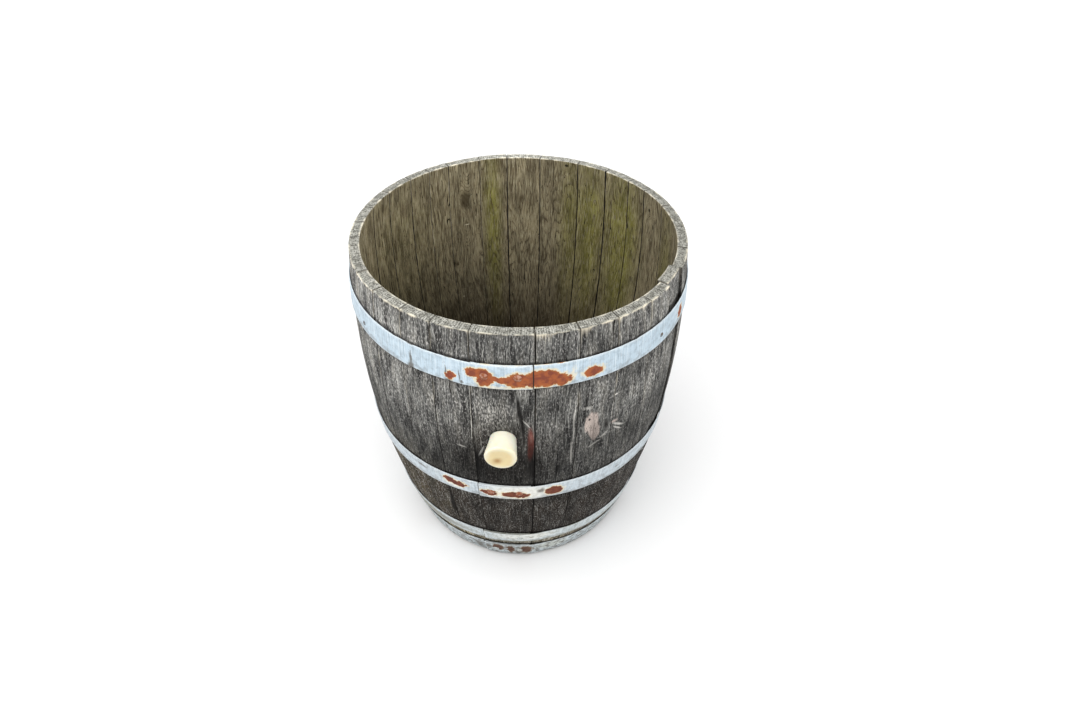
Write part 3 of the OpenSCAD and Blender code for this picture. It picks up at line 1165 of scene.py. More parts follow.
    @staticmethod
    def outer_bare(azimuth: np.ndarray, z: np.ndarray) -> np.ndarray:
        """Knocked or rubbed places that show pinkish fresh wood.

        Args:
            azimuth: The azimuths.
            z: The heights.

        Returns:
            How bare it is, from 0 to 1.
        """
        patch = ((1.5, 24.6, 2.1, 0.526, 0.022), (1.5, 26, 1.5, 0.494, 0.018))
        scars = ((0.9, 5.6, 0.5, 0.508, 0.018), (0.7, 33, 1.7, 0.503, 0.005))
        return np.clip(humps(azimuth, z, *patch, *scars), 0, 1)


WEATHER = Weather()


@dataclass
class Stave:
    """One stave of the cask, bent from a block. Angles are in radians and lengths in metres."""

    number: int
    start: float
    span: float
    lean: float = 0.0
    side_gap: float = 0.0002
    close_over: float = 0.00034
    arris: float = 0.0009
    block_cells: tuple[int, int, int] = (30, 8, 138)
    crack_half: float = 0.0009
    crack_d: float = 0.0026
    crack_apart: float = 0.18
    crack_share: float = 0.7
    swell_d: float = 0.0004
    inner_swell_d: float = 0.0005
    ridge_d: float = 0.00022
    dent_d: float = 0.0008
    crown_d: float = 0.0005
    wander: float = 0.0035
    stand_back: float = 0.0008
    saw_low: float = 0.0010
    rim_h: float = 0.004
    least_lean: float = 0.003

    @classmethod
    def from_node(cls, number: int) -> "Stave":
        """Reads a stave's place from its CAD node.

        Args:
            number: The stave's number, from 1.

        Returns:
            The stave.
        """
        co, _ = points_and_corners(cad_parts[f"stave_{number:02d}"].data)
        azimuth = np.arctan2(co[:, 0], -co[:, 1])
        middle = math.atan2(np.sin(azimuth).mean(), np.cos(azimuth).mean())
        off = (azimuth - middle + math.pi) % math.tau - math.pi
        top = co[co[:, 2] > CASK.height - cls.rim_h]
        lean = float(CASK.outer_r(CASK.height)) - np.hypot(top[:, 0], top[:, 1]).max()
        lean = lean if lean > cls.least_lean else 0.0
        return cls(number, middle + off.min(), off.max() - off.min(), lean)

    @staticmethod
    def levels() -> np.ndarray:
        """Heights of the grid's rows: close together at the worked foot and at the worn rim.

        Returns:
            The heights, from the foot up.
        """
        foot = [0, 0.0006, 0.001, 0.004, 0.008, 0.013, 0.018, 0.022, 0.027, 0.032, 0.0375]
        walls = (CASK.croze_z - CASK.croze_w / 2, CASK.croze_z + CASK.croze_w / 2)
        groove = [wall + hair for wall in walls for hair in (-0.00005, 0.00005)]
        top = [0.012, 0.0095, 0.0075, 0.0055, 0.0040, 0.0028, 0.0018, 0.001, 0.0006, 0]
        count = Stave.block_cells[2] + 1 - len(foot) - len(groove) - len(top)
        between = np.linspace(0.052, CASK.height - 0.0155, count)
        return np.concatenate([foot, groove, between, [CASK.height - d for d in top]])

    def columns(self, cracks: list[float]) -> np.ndarray:
        """Shares of the width at which the grid's columns stand, bunched at the cracks.

        Args:
            cracks: The cracks' places, as shares of the width.

        Returns:
            The share for each column between the rounded edges.
        """
        fine = np.linspace(0, 1, 801)
        density = 1 + sum(7 * hump(fine, c, 0.018) for c in cracks)
        total = np.concatenate([[0], np.cumsum((density[1:] + density[:-1]) / 2)])
        spots = np.interp(np.linspace(0, total[-1], self.block_cells[0] - 3), total, fine)
        width = self.span * CASK.bilge_r
        for crack in cracks:
            middle = int(np.argmin(abs(spots - crack)))
            spots[middle - 1 : middle + 2] = crack + np.array([-1, 0, 1]) * self.crack_half / width
        return spots

    def build(self, block: Block, materials: list[Material]) -> Object:
        """Bends the block into the stave, weathers it and makes its object.

        Args:
            block: The block to bend.
            materials: The outside's, the inside's and the end grain's materials.

        Returns:
            The stave.
        """
        rng = np.random.default_rng(100 + self.number)
        across, deep, up = block.index.T
        cells = block.cells
        z = self.levels()[up]
        zero = np.zeros_like(z)
        outer_r = CASK.outer_r(z)
        azimuth_middle = self.start + self.span / 2
        width = outer_r * self.span
        thick = outer_r - CASK.inner_r(z)
        seed = float(self.number)
        along = np.column_stack([zero, zero, z])

        # grid lines over the width, with two columns in each rounded edge
        cracks = sorted(rng.uniform(0.16, 0.84, 2))
        if cracks[1] - cracks[0] < self.crack_apart:
            cracks = [cracks[0] * 0.6, min(0.86, cracks[1] + 0.12)]
        inner_columns = self.columns(cracks)
        shares = np.concatenate([[0, 0], inner_columns, [1, 1]])
        inset = self.arris * np.array([0, EDGE_MIDDLE, 1])
        near = np.zeros(cells[0] + 1)
        near[:3], near[-3:] = inset, -inset[::-1]
        from_side = np.minimum(across, cells[0] - across)
        side_place = shares[across] * (width - 2 * self.arris * (from_side > 1)) + near[across]
        side_place = side_place + self.arris * (from_side > 2)
        depth_place = grid_lines(int(cells[1]), thick, self.arris)[np.arange(len(z)), deep]

        place = np.column_stack([side_place, depth_place, z])
        size = np.column_stack([width, thick, zero + CASK.height])
        left_side = side_place < width / 2
        wear = ripple(along + left_side[:, None] * 0.5, (1, 1, 0.035), seed + 0.3)
        chip = np.clip(ripple(place, (0.03, 0.4, 0.02), seed + 7.7) - 0.35, 0, 1)
        rimmed = rise(CASK.height - 0.02, CASK.height, z)
        radius = self.arris * (1.0 + 0.45 * wear + rimmed * (0.5 + 2.2 * chip))
        s, depth, z_now = round_edges(place, size, radius[:, None]).T
        s = s - width / 2

        # gaps: each side stands back from its joint, and its middle swells to close the light
        swell = np.array([0, 0, 0.15, 0.7, 1, 0.7, 0.15, 0, 0])[deep]
        inner_most = rise(0.25, 0.95, depth_place / thick) + rise(0.75, 0.05, depth_place / thick)
        for way, joint in ((-1, self.number), (1, self.number + 1)):
            share = np.exp(-np.clip((width / 2 - way * s) / 0.010, 0, None))
            extra = WEATHER.open_joints.get(joint, 0.0)
            back = self.side_gap + extra * inner_most * (0.75 + 0.5 * wear)
            s = s - way * share * (back * (1 - swell) - self.close_over * swell)

        # the two broad faces: long shallow swells, grain ridges, and cracks
        outer, inner = block.at(Side.OUTER), block.at(Side.INNER)
        sheet = np.column_stack([s, zero, z])
        face_mid = rise(0.0, 0.004, width / 2 - abs(s))
        broad = ripple(sheet, (0.022, 1, 0.20), seed) * 0.5 + 0.5
        ridges = self.ridge_d * (ripple(sheet, (0.0055, 1, 0.10), seed + 3.1) * 0.5 + 0.5)
        dent = self.dent_d * WEATHER.outer_bare(np.degrees(azimuth_middle + s / outer_r), z)
        crown = self.crown_d * (abs(s) / (width / 2)) ** 4
        depth = depth + outer * (face_mid * (self.swell_d * broad + ridges + dent) + crown)
        depth = depth - inner * face_mid * (self.inner_swell_d * (1 - broad) + ridges)
        cleft = zero
        first, second = (2 + int(np.argmin(abs(inner_columns - c))) for c in cracks)
        runs = [
            (outer, first, rng.uniform(0.60, 0.72), rng.uniform(0.05, 0.14), 1),
            (outer, second, rng.uniform(0.18, 0.55), rng.uniform(0.03, 0.10), 1),
            (inner, second, rng.uniform(0.62, 0.74), rng.uniform(0.06, 0.20), -1),
            (inner, first, rng.uniform(0.20, 0.55), rng.uniform(0.04, 0.12), -1),
        ]
        for face, column, middle, half, way in runs:
            if rng.random() < 1 - self.crack_share:
                continue
            open_share = rise(half, half * 0.35, abs(z - middle)) * (0.55 + 0.45 * wear)
            hit = face & (across == column)
            depth = depth + way * hit * np.clip(open_share, 0, 1) * self.crack_d
            cleft = np.maximum(cleft, hit * np.clip(open_share * 1.6, 0, 1))

        # the grain wanders, so every column wanders with it
        unswayed = s
        wander = ripple(along, (1, 1, 0.17), seed + 5.5) * self.wander
        s = s + wander * np.clip(1 - (2 * s / width) ** 2, 0, 1)

        # this stave stands a hair back, its top was sawn a hair low, and one has come loose
        stand_back = rng.uniform(0.0, self.stand_back)
        saw = rng.uniform(0.0, self.saw_low) + rng.uniform(-0.0003, 0.0003) * s / width * 2
        z_now = z_now - np.clip(saw, 0, None) * rise(0.70, 0.74, z)
        pivot = CASK.croze_z / 2
        depth = depth + stand_back + self.lean * np.clip((z - pivot) / (CASK.height - pivot), 0, 1)
        if self.lean:
            s = s * (1 - 0.012 * rise(0.1, 0.6, z))

        points = CASK.points(azimuth_middle + s / outer_r, outer_r - depth, z_now)
        flat = np.column_stack([unswayed, depth, z_now]) + grain_shift(self.number)
        to_face = np.minimum(depth_place, thick - depth_place)
        marks = self.marks(block, points, s, to_face, width, rng)
        joints = [self.joint_dark(self.number), self.joint_dark(self.number + 1)]
        joint_dark = np.select([across == 0, across == cells[0]], joints, 0.0)
        rim_dark = block.at(Side.TOP) * np.array([0.8, 0.6, 0.0])[np.minimum(from_side, 2)]
        # the side faces are darkened whole: partly dirt, partly painted shade of the deep joint between
        # staves
        side_dirt_and_shade = 0.8 * ((deep > 0) & (deep < cells[1]) & (from_side == 0))
        marks["cleft"] = np.maximum.reduce([cleft, joint_dark, rim_dark, side_dirt_and_shade])
        name = f"stave_oak_{self.number:02d}"
        finishes = {Side.INNER: 1, Side.TOP: 2, Side.FOOT: 2}
        return block.piece(name, points, flat, finishes, materials, marks)

    @staticmethod
    def joint_dark(joint: int) -> float:
        """How dark the joint on the left of a stave is: the more it has opened, the darker."""
        return min(0.9, 0.15 + WEATHER.open_joints.get(joint, 0.0) / 0.0014)

    def marks(
        self,
        block: Block,
        points: np.ndarray,
        s: np.ndarray,
        to_face: np.ndarray,
        width: np.ndarray,
        rng: np.random.Generator,
    ) -> dict[str, np.ndarray]:
        """Where the stave is worn, damp, mossy or light, for the materials.

        Args:
            block: The block that the stave is bent from.
            points: The stave's points.
            s: Their distances from the stave's middle line.
            to_face: Their distances from the nearer broad face.
            width: The stave's width at each point.
            rng: The stave's own source of chance.

        Returns:
            A value for each point, by mark.
        """
        z = points[:, 2]
        azimuth = np.degrees(np.arctan2(points[:, 0], -points[:, 1]))
        inside, on_top = block.at(Side.INNER), block.at(Side.TOP)
        sheet = np.column_stack([s, np.zeros_like(s), z])
        blot = ripple(sheet, (0.02, 1, 0.045), self.number + 11.0)
        patchy = ripple(sheet, (0.012, 1, 0.05), self.number + 21.0)
        to_rim = np.clip(CASK.height - z, 0, 1)
        to_side = np.clip(width / 2 - abs(s), 0, 1)
        lobes = rise(0.05, 0.5, blot) * rise(2, 12, azimuth) * (1 - rise(48, 60, azimuth))
        worn = (0.62 + 1.1 * patchy) * np.exp(-to_rim / 0.0020)
        worn += 0.9 * lobes * np.exp(-to_rim / 0.009)
        worn += (0.35 + 0.5 * blot) * np.exp(-to_side / 0.0012) * rise(0.3, 0.7, z)
        worn = np.where(on_top, (0.70 + 1.1 * patchy) * np.exp(-to_face / 0.0018), worn)
        tones = [WEATHER.rim_tone(azimuth), WEATHER.inner_tone(azimuth, z)]
        tone = np.select([on_top, inside], tones, WEATHER.outer_tone(azimuth, z))
        tone = (tone + np.where(on_top, 0.06, 0.05) * blot) * (1 + rng.uniform(-0.07, 0.07))
        damp = np.where(inside, 0.95 * (1 - rise(0.08, 0.48, z)), WEATHER.outer_damp(azimuth, z))
        moss = np.where(inside, WEATHER.inner_moss(azimuth, z), WEATHER.outer_moss(azimuth, z))
        return {
            "worn": np.clip(worn, 0, 1),
            "tone": np.clip(tone, 0.12, 2.1),
            "damp": np.clip(damp * (1 + 0.5 * blot), 0, 1),
            "moss": np.clip(moss, 0, 1),
            "bare": np.where(inside, 0, WEATHER.outer_bare(azimuth, z)),
        }


@dataclass
class StaveWall:
    """The ring of staves."""

    staves: list[Stave] = field(
        default_factory=lambda: [Stave.from_node(number) for number in range(1, 30)]
    )
    bung_r: float = 0.0246
    bung_taper: float = 5.1 / 37

    def finishes(self) -> list[Material]:
        """The outside's, the inside's and the end grain's materials.

        Returns:
            The three materials.
        """
        pale_outside = self.on_grain(
            (-5.5, 0.575, 0.040, 0.050, 0, 0.36), (-14.0, 0.590, 0.030, 0.050, 0, 0.22),
            (4.0, 0.549, 0.0018, 0.014, -38, 1.1), (18.6, 0.532, 0.0016, 0.060, 2, 0.9),
            (18.2, 0.450, 0.0022, 0.040, -4, 0.9), (31.7, 0.573, 0.0014, 0.060, 0, 0.8),
            (32.5, 0.575, 0.0080, 0.0020, -10, 0.9), (-12.6, 0.570, 0.0013, 0.110, 0, 0.8),
            (-16.5, 0.472, 0.0130, 0.0030, 8, 0.7), (-10.0, 0.468, 0.0024, 0.020, 20, 0.9),
            (35.2, 0.490, 0.0170, 0.0028, 30, 1.2), (35.0, 0.480, 0.0150, 0.0024, 36, 1.1),
            (26.5, 0.462, 0.0180, 0.0030, -24, 0.8), (29.5, 0.478, 0.0140, 0.0060, -24, 0.5),
            (23.0, 0.566, 0.0150, 0.0060, 12, 0.6), (48.0, 0.560, 0.0200, 0.070, 0, 0.35),
        )
        red_outside = self.on_grain(
            (5.6, 0.500, 0.0075, 0.036, -2, 1.0), (5.2, 0.462, 0.0060, 0.020, 0, 0.7)
        )
        dark_outside = self.on_grain(
            (24.3, 0.534, 0.0026, 0.0030, 0, 1.2), (1.9, 0.585, 0.0040, 0.030, 0, 0.9),
            (2.6, 0.545, 0.0030, 0.030, -3, 0.8), (30.0, 0.505, 0.0080, 0.014, 0, 0.6),
            (-12.0, 0.440, 0.010, 0.050, 0, 0.7), (6.0, 0.430, 0.016, 0.050, 0, 0.6),
            (-24.7, 0.235, 0.0030, 0.055, 0, 1.1), (-23.8, 0.225, 0.0026, 0.055, 0, 1.1),
        )
        outside = Oak(
            name="oak_silvered", hollow="#3a3938", ridge="#7d7e7c", tint="#5e5b55",
            fleck="#cacac6", ring="#211f1e", check="#131110", stain="#33291f", moss="#655a36",
            worn="#cfc6b2", bare="#c9bab1", ring_share=0.35,
            hooped=HOOP_BANDS,
            knots=self.on_grain(
                (24.5, 0.512, 0.016, 0.034), (36.0, 0.420, 0.012, 0.040), (-40.0, 0.540, 0.012, 0.050),
                (-96.0, 0.470, 0.014, 0.050), (104.0, 0.520, 0.014, 0.040), (172.0, 0.560, 0.016, 0.045),
            ),
            touches=(
                Touch("#d3d0c9", 0.70, 1.05, 0.85, pale_outside),
                Touch("#7a3f35", 0.55, 1.10, 0.8, red_outside),
                Touch("#131110", 0.60, 1.10, 0.9, dark_outside),
            ),
        )
        pale_inside = self.on_grain(
            (-149.0, 0.363, 0.0020, 0.0030, 0, 1.2), (-153.2, 0.573, 0.0090, 0.0018, 0, 0.8)
        )
        dark_inside = self.on_grain(
            (161.8, 0.729, 0.0050, 0.0030, 0, 1.1), (117.8, 0.701, 0.0030, 0.0045, 0, 1.1),
            (114.3, 0.667, 0.0026, 0.0060, 0, 1.1),
        )
        inside = Oak(
            name="oak_inside_damp", hollow="#675d49", ridge="#aaa085", tint="#8e8369",
            fleck="#cdc4a8", ring="#463d2c", check="#12100b", stain="#33220f", moss="#827f3c",
            worn="#d8d0ba", fibre_w=0.0022, speck_l=0.020, cloud=0.20, ring_share=0.75,
            fleck_share=0.4,
            knots=self.on_grain(
                (-153.5, 0.635, 0.020, 0.050, 0, 0.6), (-152.5, 0.560, 0.012, 0.035, 0, 0.7),
                (161.8, 0.722, 0.006, 0.008), (165.3, 0.560, 0.024, 0.120, 0, 0.5),
                (117.8, 0.700, 0.006, 0.012), (114.3, 0.667, 0.006, 0.015),
                (-149.1, 0.363, 0.008, 0.014), (-120.0, 0.520, 0.014, 0.060),
                (60.0, 0.450, 0.014, 0.060), (-20.0, 0.520, 0.014, 0.060),
            ),
            touches=(
                Touch("#ded5ba", 0.70, 1.05, 0.85, pale_inside),
                Touch("#443b2a", 0.50, 1.15, 0.8, self.on_grain((-153.5, 0.640, 0.012, 0.026))),
                Touch("#12100b", 0.60, 1.10, 0.9, dark_inside),
            ),
        )
        return [outside.material(), inside.material(), EndGrain().material()]

    def on_grain(self, *rows: tuple[float, ...]) -> tuple[Spot, ...]:
        """Finds spots of the cask on the staves' grain map.

        Args:
            rows: The spots, each by what Spot takes, with its azimuth and height on the cask.

        Returns:
            The spots, by their places on the map.
        """
        found = []
        for spot in (Spot(*row) for row in rows):
            for stave in self.staves:
                middle = stave.start + stave.span / 2
                off = (math.radians(spot.azimuth) - middle + math.pi) % math.tau - math.pi
                if abs(off) < stave.span / 2:
                    shift = grain_shift(stave.number)
                    across = off * float(CASK.outer_r(spot.z)) + shift[0]
                    found.append(replace(spot, azimuth=across, z=spot.z + shift[2]))
        return tuple(found)

    def build(self) -> None:
        """Builds every stave, and bores the bung hole through the first."""
        block = Block(Stave.block_cells)
        materials = self.finishes()
        for stave in self.staves:
            piece = stave.build(block, materials)
            if stave.number == 1:
                self.bore(piece)
            install(piece, "barrel", "stave_oak", f"stave_{stave.number:02d}")

    def bore(self, stave: Object) -> None:
        """Bores the tapered bung hole.

        Args:
            stave: The bung stave.
        """
        bm = bmesh.new()
        reach = 0.06
        ends = [self.bung_r + way * self.bung_taper * reach / 2 for way in (-1, 1)]
        bmesh.ops.create_cone(
            bm, cap_ends=True, segments=72, radius1=ends[0], radius2=ends[1], depth=reach
        )
        bm.transform(outward(BUNG_AZIMUTH, float(CASK.outer_r(BUNG_Z)), BUNG_Z))
        cutter = finished(bm, "bung_hole_cutter", stave.data.materials[0])
        cut = stave.modifiers.new("bung_hole", "BOOLEAN")
        cut.operation = "DIFFERENCE"
        cut.solver = "EXACT"
        cut.object = cutter
        shown = stave.evaluated_get(bpy.context.evaluated_depsgraph_get())
        bored = bpy.data.meshes.new_from_object(shown)
        stave.modifiers.clear()
        stave.data = bored
        bpy.data.objects.remove(cutter)


# ---- hoops ----


@dataclass
class Hoop:
    """One hoop: a strip bent to the cask's cone, which climbs a joggle on to its own end."""

    node: str
    low: float
    width: float
    lap_azimuth: float
    way: Way
    finish: ZincedIron
    iron: float = 0.002
    fit: float = 0.0002
    lap: float = 0.104
    lap_gap: float = 0.00015
    joggle: float = 0.040
    rivet_pitch: float = 0.055
    edge: float = 0.0005
    dent_d: float = 0.0004
    nick_d: float = 0.0022
    wave_d: float = 0.00025
    seam_off: float = 0.0007
    block_cells: tuple[int, int, int] = (440, 4, 12)

    def radius(self, height: np.ndarray) -> np.ndarray:
        """Inner radius at a height above the hoop's lower edge.

        Args:
            height: The height.

        Returns:
            The radius of the cone there.
        """
        off = self.fit + self.width**2 / (8 * CASK.bow_r)
        low, high = CASK.outer_r(self.low) + off, CASK.outer_r(self.low + self.width) + off
        return low + (high - low) * height / self.width

    @property
    def tilt(self) -> float:
        """Angle by which the hoop's outward normal tips upwards."""
        return math.atan(float(self.radius(0) - self.radius(self.width)) / self.width)

    def angle(self, length: float) -> float:
        """Angle that a length spans round the hoop's middle."""
        return length / float(self.radius(self.width / 2))

    def place(self, azimuth: float, height: float, lift: float) -> Matrix:
        """A place on the hoop, with Z along its outward normal.

        Args:
            azimuth: The azimuth in degrees.
            height: The height above the lower edge.
            lift: The distance above the hoop's inner surface.

        Returns:
            The matrix that carries a shape there.
        """
        seat = outward(azimuth, float(self.radius(height)), self.low + height, self.tilt)
        return seat @ Matrix.Translation((0, 0, lift))

    def rivet_places(self) -> list[Matrix]:
        """Places of the two rivet heads on the outer layer.

        Returns:
            The matrices that carry a head there.
        """
        lift = 2 * self.iron + self.lap_gap
        offset = math.degrees(self.angle(self.rivet_pitch / 2))
        ends = (self.lap_azimuth - offset, self.lap_azimuth + offset)
        return [self.place(azimuth, self.width / 2, lift) for azimuth in ends]

    def on_strip(self, stains: tuple[Blotch, ...]) -> tuple[Blotch, ...]:
        """Moves stains by whole turns on to the strip, and doubles those that run over its end.

        Args:
            stains: Stains with azimuths from -180 to 180.

        Returns:
            Stains with azimuths as the strip counts them from its inner end.
        """
        half = math.degrees(self.angle(self.lap)) / 2
        begin = self.lap_azimuth - self.way.value * half
        low, high = sorted((begin, begin + self.way.value * (360 + 2 * half)))
        return tuple(
            replace(stain, azimuth=stain.azimuth + turn)
            for stain in stains
            for turn in (-360, 0, 360)
            if low - stain.half_angle < stain.azimuth + turn < high + stain.half_angle
        )

    def build(self, seed: float) -> None:
        """Bends the strip, dents its edges and makes its object.

        Args:
            seed: Moves the dents, so that no two hoops match.
        """
        block = Block(self.block_cells)
        across, deep, up = block.index.T
        each = np.arange(len(across))
        zero = np.zeros(len(across))
        lap, climb = self.angle(self.lap), self.angle(self.joggle)
        start = self.angle(self.iron)
        total = math.tau + lap - start
        share = across / block.cells[0]
        turn = start + (share if self.way is Way.RIGHT else 1 - share) * total
        azimuth = math.radians(self.lap_azimuth) + self.way.value * (turn - lap / 2)
        middle_r = float(self.radius(self.width / 2))
        length = total * middle_r
        size = np.column_stack([zero + length, zero + self.iron, zero + self.width])
        depth = grid_lines(int(block.cells[1]), size[:, 1], self.edge)[each, deep]
        height = grid_lines(int(block.cells[2]), size[:, 2], self.edge)[each, up]
        along = np.clip(share * length, 0, length)
        radius = np.full((len(across), 1), self.edge)
        place = round_edges(np.column_stack([along, depth, height]), size, radius)

        # the edges are dented and nicked, and the strip stands off the staves in slow waves
        flow = np.column_stack([azimuth * middle_r, zero, zero])
        dent = ripple(flow, (0.035, 1, 1), seed)
        nicks = np.clip(ripple(flow, (0.010, 1, 1), seed + 4) - 0.25, 0, 1)
        top_share = rise(0.6, 1.0, height / self.width)
        low_share = 1 - rise(0.0, 0.4, height / self.width)
        dented = self.dent_d * (dent + 1)
        height_now = place[:, 2] - top_share * (dented + self.nick_d * nicks) + low_share * dented
        wave = self.wave_d * (1 + ripple(flow + height[:, None] * 0.7, (0.06, 1, 1), seed + 9))
        free = 1 - rise(math.tau - climb - 0.2, math.tau - climb, turn)
        free = free * rise(lap, lap + 0.2, turn)
        lift = (self.iron + self.lap_gap) * rise(math.tau - climb, math.tau, turn)
        out = (lift + self.iron - place[:, 1]) / math.cos(self.tilt) + wave * free
        points = CASK.points(azimuth, self.radius(height_now) + out, self.low + height_now)
        flat = np.column_stack([azimuth * middle_r, depth, height])
        to_edge = np.minimum.reduce([height, self.width - height, along, length - along])
        soil = self.finish.soil + 0.25 * low_share
        # on a hoop the worn mark is a painted highlight along the strip's edges, and no wear
        marks = {"worn": np.exp(-to_edge / 0.0012), "damp": np.clip(soil * (1 + 0.5 * dent), 0, 1)}
        outer_end = math.radians(self.lap_azimuth) + self.way.value * lap / 2
        finish = replace(
            self.finish,
            name=f"zinced_{self.node}",
            radius=middle_r,
            seam=outer_end * middle_r + self.way.value * self.seam_off,
            rust=self.on_strip(self.finish.rust),
            grime=self.on_strip(self.finish.grime),
            chalk=self.on_strip(self.finish.chalk),
        )
        strip = block.piece(f"strip_{self.node}", points, flat, {}, [finish.material()], marks)
        install(strip, "barrel", "hoop_iron", self.node)


@dataclass
class HoopSet:
    """The four hoops, their rivets and their nails."""

    rivet_r: float = 0.007
    rivet_h: float = 0.003
    nail_r: float = 0.0045
    nail_h: float = 0.0024
    upper_nails: tuple[float, ...] = (-53.9, 50.9, 140.0, -145.0)
    lower_nails: tuple[float, ...] = (53.6, 174.0, -114.0)
    upper_nail_height: float = 0.018
    nail_under: float = -0.00185

    @staticmethod
    def hoops() -> list[Hoop]:
        """The hoops, from the top down, with the stains that the photo shows on each.

        Returns:
            The four hoops.
        """
        upper = ZincedIron(
            rust=blotches(
                (-17.9, 0.013, 1.35, 0.010), (-11.6, 0.03, 1.9, 0.0085), (-9.4, 0.03, 2.4, 0.0105),
                (-7.7, 0.0215, 2.5, 0.0185), (-4.7, 0.0215, 2.2, 0.005), (-1.8, 0.019, 2, 0.0075),
                (1.7, 0.0195, 3.4, 0.0155), (6.8, 0.021, 3.2, 0.0175), (10.0, 0.020, 3.8, 0.0175),
                (14.0, 0.015, 2.8, 0.013), (23.8, 0.0175, 3.3, 0.0105), (64.5, 0.022, 1.6, 0.014),
                (118.0, 0.020, 3.0, 0.009), (-138.0, 0.028, 2.2, 0.011),
            ),
            grime=blotches(
                (-31.0, 0.004, 1.5, 0.014), (-31.0, 0.018, 0.7, 0.02), (-19.3, 0.02, 0.35, 0.016),
                (-18.6, 0.002, 1.6, 0.004), (-15, 0.016, 0.32, 0.016), (-14.4, 0.005, 0.8, 0.005),
                (95.0, 0.006, 6.0, 0.010), (-100.0, 0.006, 5.0, 0.009),
            ),
            chalk=blotches((17.6, 0.022, 1.0, 0.018), (-1.0, 0.003, 12.0, 0.004)),
        )
        lower = ZincedIron(
            rust=blotches(
                (-22.8, 0.027, 2.5, 0.01), (-19.4, 0.0215, 3, 0.0095), (-9.6, 0.0215, 2, 0.0065),
                (-7.6, 0.0175, 2.0, 0.009), (-0.4, 0.0175, 3.8, 0.010), (2.8, 0.0155, 2.2, 0.011),
                (13.6, 0.021, 3.1, 0.015), (84.0, 0.020, 3.0, 0.008), (-150.0, 0.023, 4.0, 0.007),
            ),
            grime=blotches(
                (-34.0, 0.030, 2.6, 0.005), (38.0, 0.022, 1.6, 0.004), (9.0, 0.028, 1.6, 0.012)
            ),
            chalk=blotches((1.5, 0.022, 14.0, 0.040), (-21.0, 0.020, 5.0, 0.018)),
            mottle=0.15, soil=0.10, bright="#cad5dc", dull="#aeb9c1", chalky="#f4f2e8",
            rust_dark="#5e2c1f", rust_light="#7c4027", rust_edge="#8f5534",
        )
        quarter = ZincedIron(
            rust=blotches((120.0, 0.020, 4.0, 0.010)),
            grime=blotches(
                (-45.0, 0.020, 31.0, 0.022), (-2.0, 0.000, 22.0, 0.006), (6.5, 0.026, 1.4, 0.003),
                (24.0, 0.000, 8.0, 0.005),
            ),
            chalk=blotches((4.0, 0.030, 16.0, 0.025)),
            mottle=0.32, soil=0.11, bright="#d0dade", dull="#b0b9ba", chalky="#ecede6",
            dirt="#77735f",
        )
        head = ZincedIron(
            rust=blotches(
                (-8.4, 0.044, 2.6, 0.020), (-2.8, 0.036, 1.8, 0.024), (4.4, 0.036, 3.0, 0.024),
                (-52.0, 0.020, 4.0, 0.012), (64.0, 0.030, 3.0, 0.014), (160.0, 0.034, 5.0, 0.016),
            ),
            grime=blotches(
                (-18.0, 0.030, 3.0, 0.030), (-13.0, 0.040, 2.0, 0.020), (0.6, 0.020, 2.0, 0.030),
                (-60.0, 0.030, 20.0, 0.030), (-150.0, 0.020, 30.0, 0.025),
            ),
            chalk=blotches((16.0, 0.045, 9.0, 0.030)),
            mottle=0.9, soil=0.15, bright="#c8d3d7", dull="#a3adb0", dirt="#58534a",
            rust_dark="#4d3122", rust_light="#654634", rust_edge="#6f5743", halo="#8d8675",
            chalky="#cfd3cb",
        )
        return [
            Hoop("hoop_bilge_upper", *HOOP_BANDS[0], -3.1, Way.RIGHT, upper),
            Hoop("hoop_bilge_lower", *HOOP_BANDS[1], -3.0, Way.LEFT, lower),
            Hoop("hoop_quarter", *HOOP_BANDS[2], -3.6, Way.LEFT, quarter),
            Hoop("hoop_head", *HOOP_BANDS[3], -4.2, Way.LEFT, head),
        ]

    @staticmethod
    def studs(places: list[Matrix], radius: float, height: float, seed: float) -> BMesh:
        """Domed heads, each a little out of round from the hammer.

        Args:
            places: Where each head sits, with Z outwards.
            radius: The heads' radius.
            height: The heads' height.
            seed: Moves the hammer marks.

        Returns:
            All the heads in one mesh.
        """
        bow = (radius**2 + height**2) / (2 * height)
        arc = [
            (bow * math.sin(a), height - bow + bow * math.cos(a))
            for a in np.linspace(0, math.asin(radius / bow), 9)[1:-1]
        ]
        outline = [(0.0, height), *arc, (radius, 0.18 * height), (radius, 0.0), (0.0, 0.0)]
        heads = bmesh.new()
        for number, place in enumerate(places):
            bm = turned(outline, 32)
            for vert in bm.verts:
                knock = noise.noise(vert.co * 260 + Vector((seed, number * 3.7, 0.0)))
                vert.co.x *= 1 + 0.05 * knock
                vert.co.y *= 1 - 0.05 * knock
                vert.co.z *= 1 + 0.10 * noise.noise(vert.co * 420 + Vector((0, seed, number)))
            bm.transform(place)
            mesh = bpy.data.meshes.new("head")
            bm.to_mesh(mesh)
            bm.free()
            heads.from_mesh(mesh)
            bpy.data.meshes.remove(mesh)
        return heads

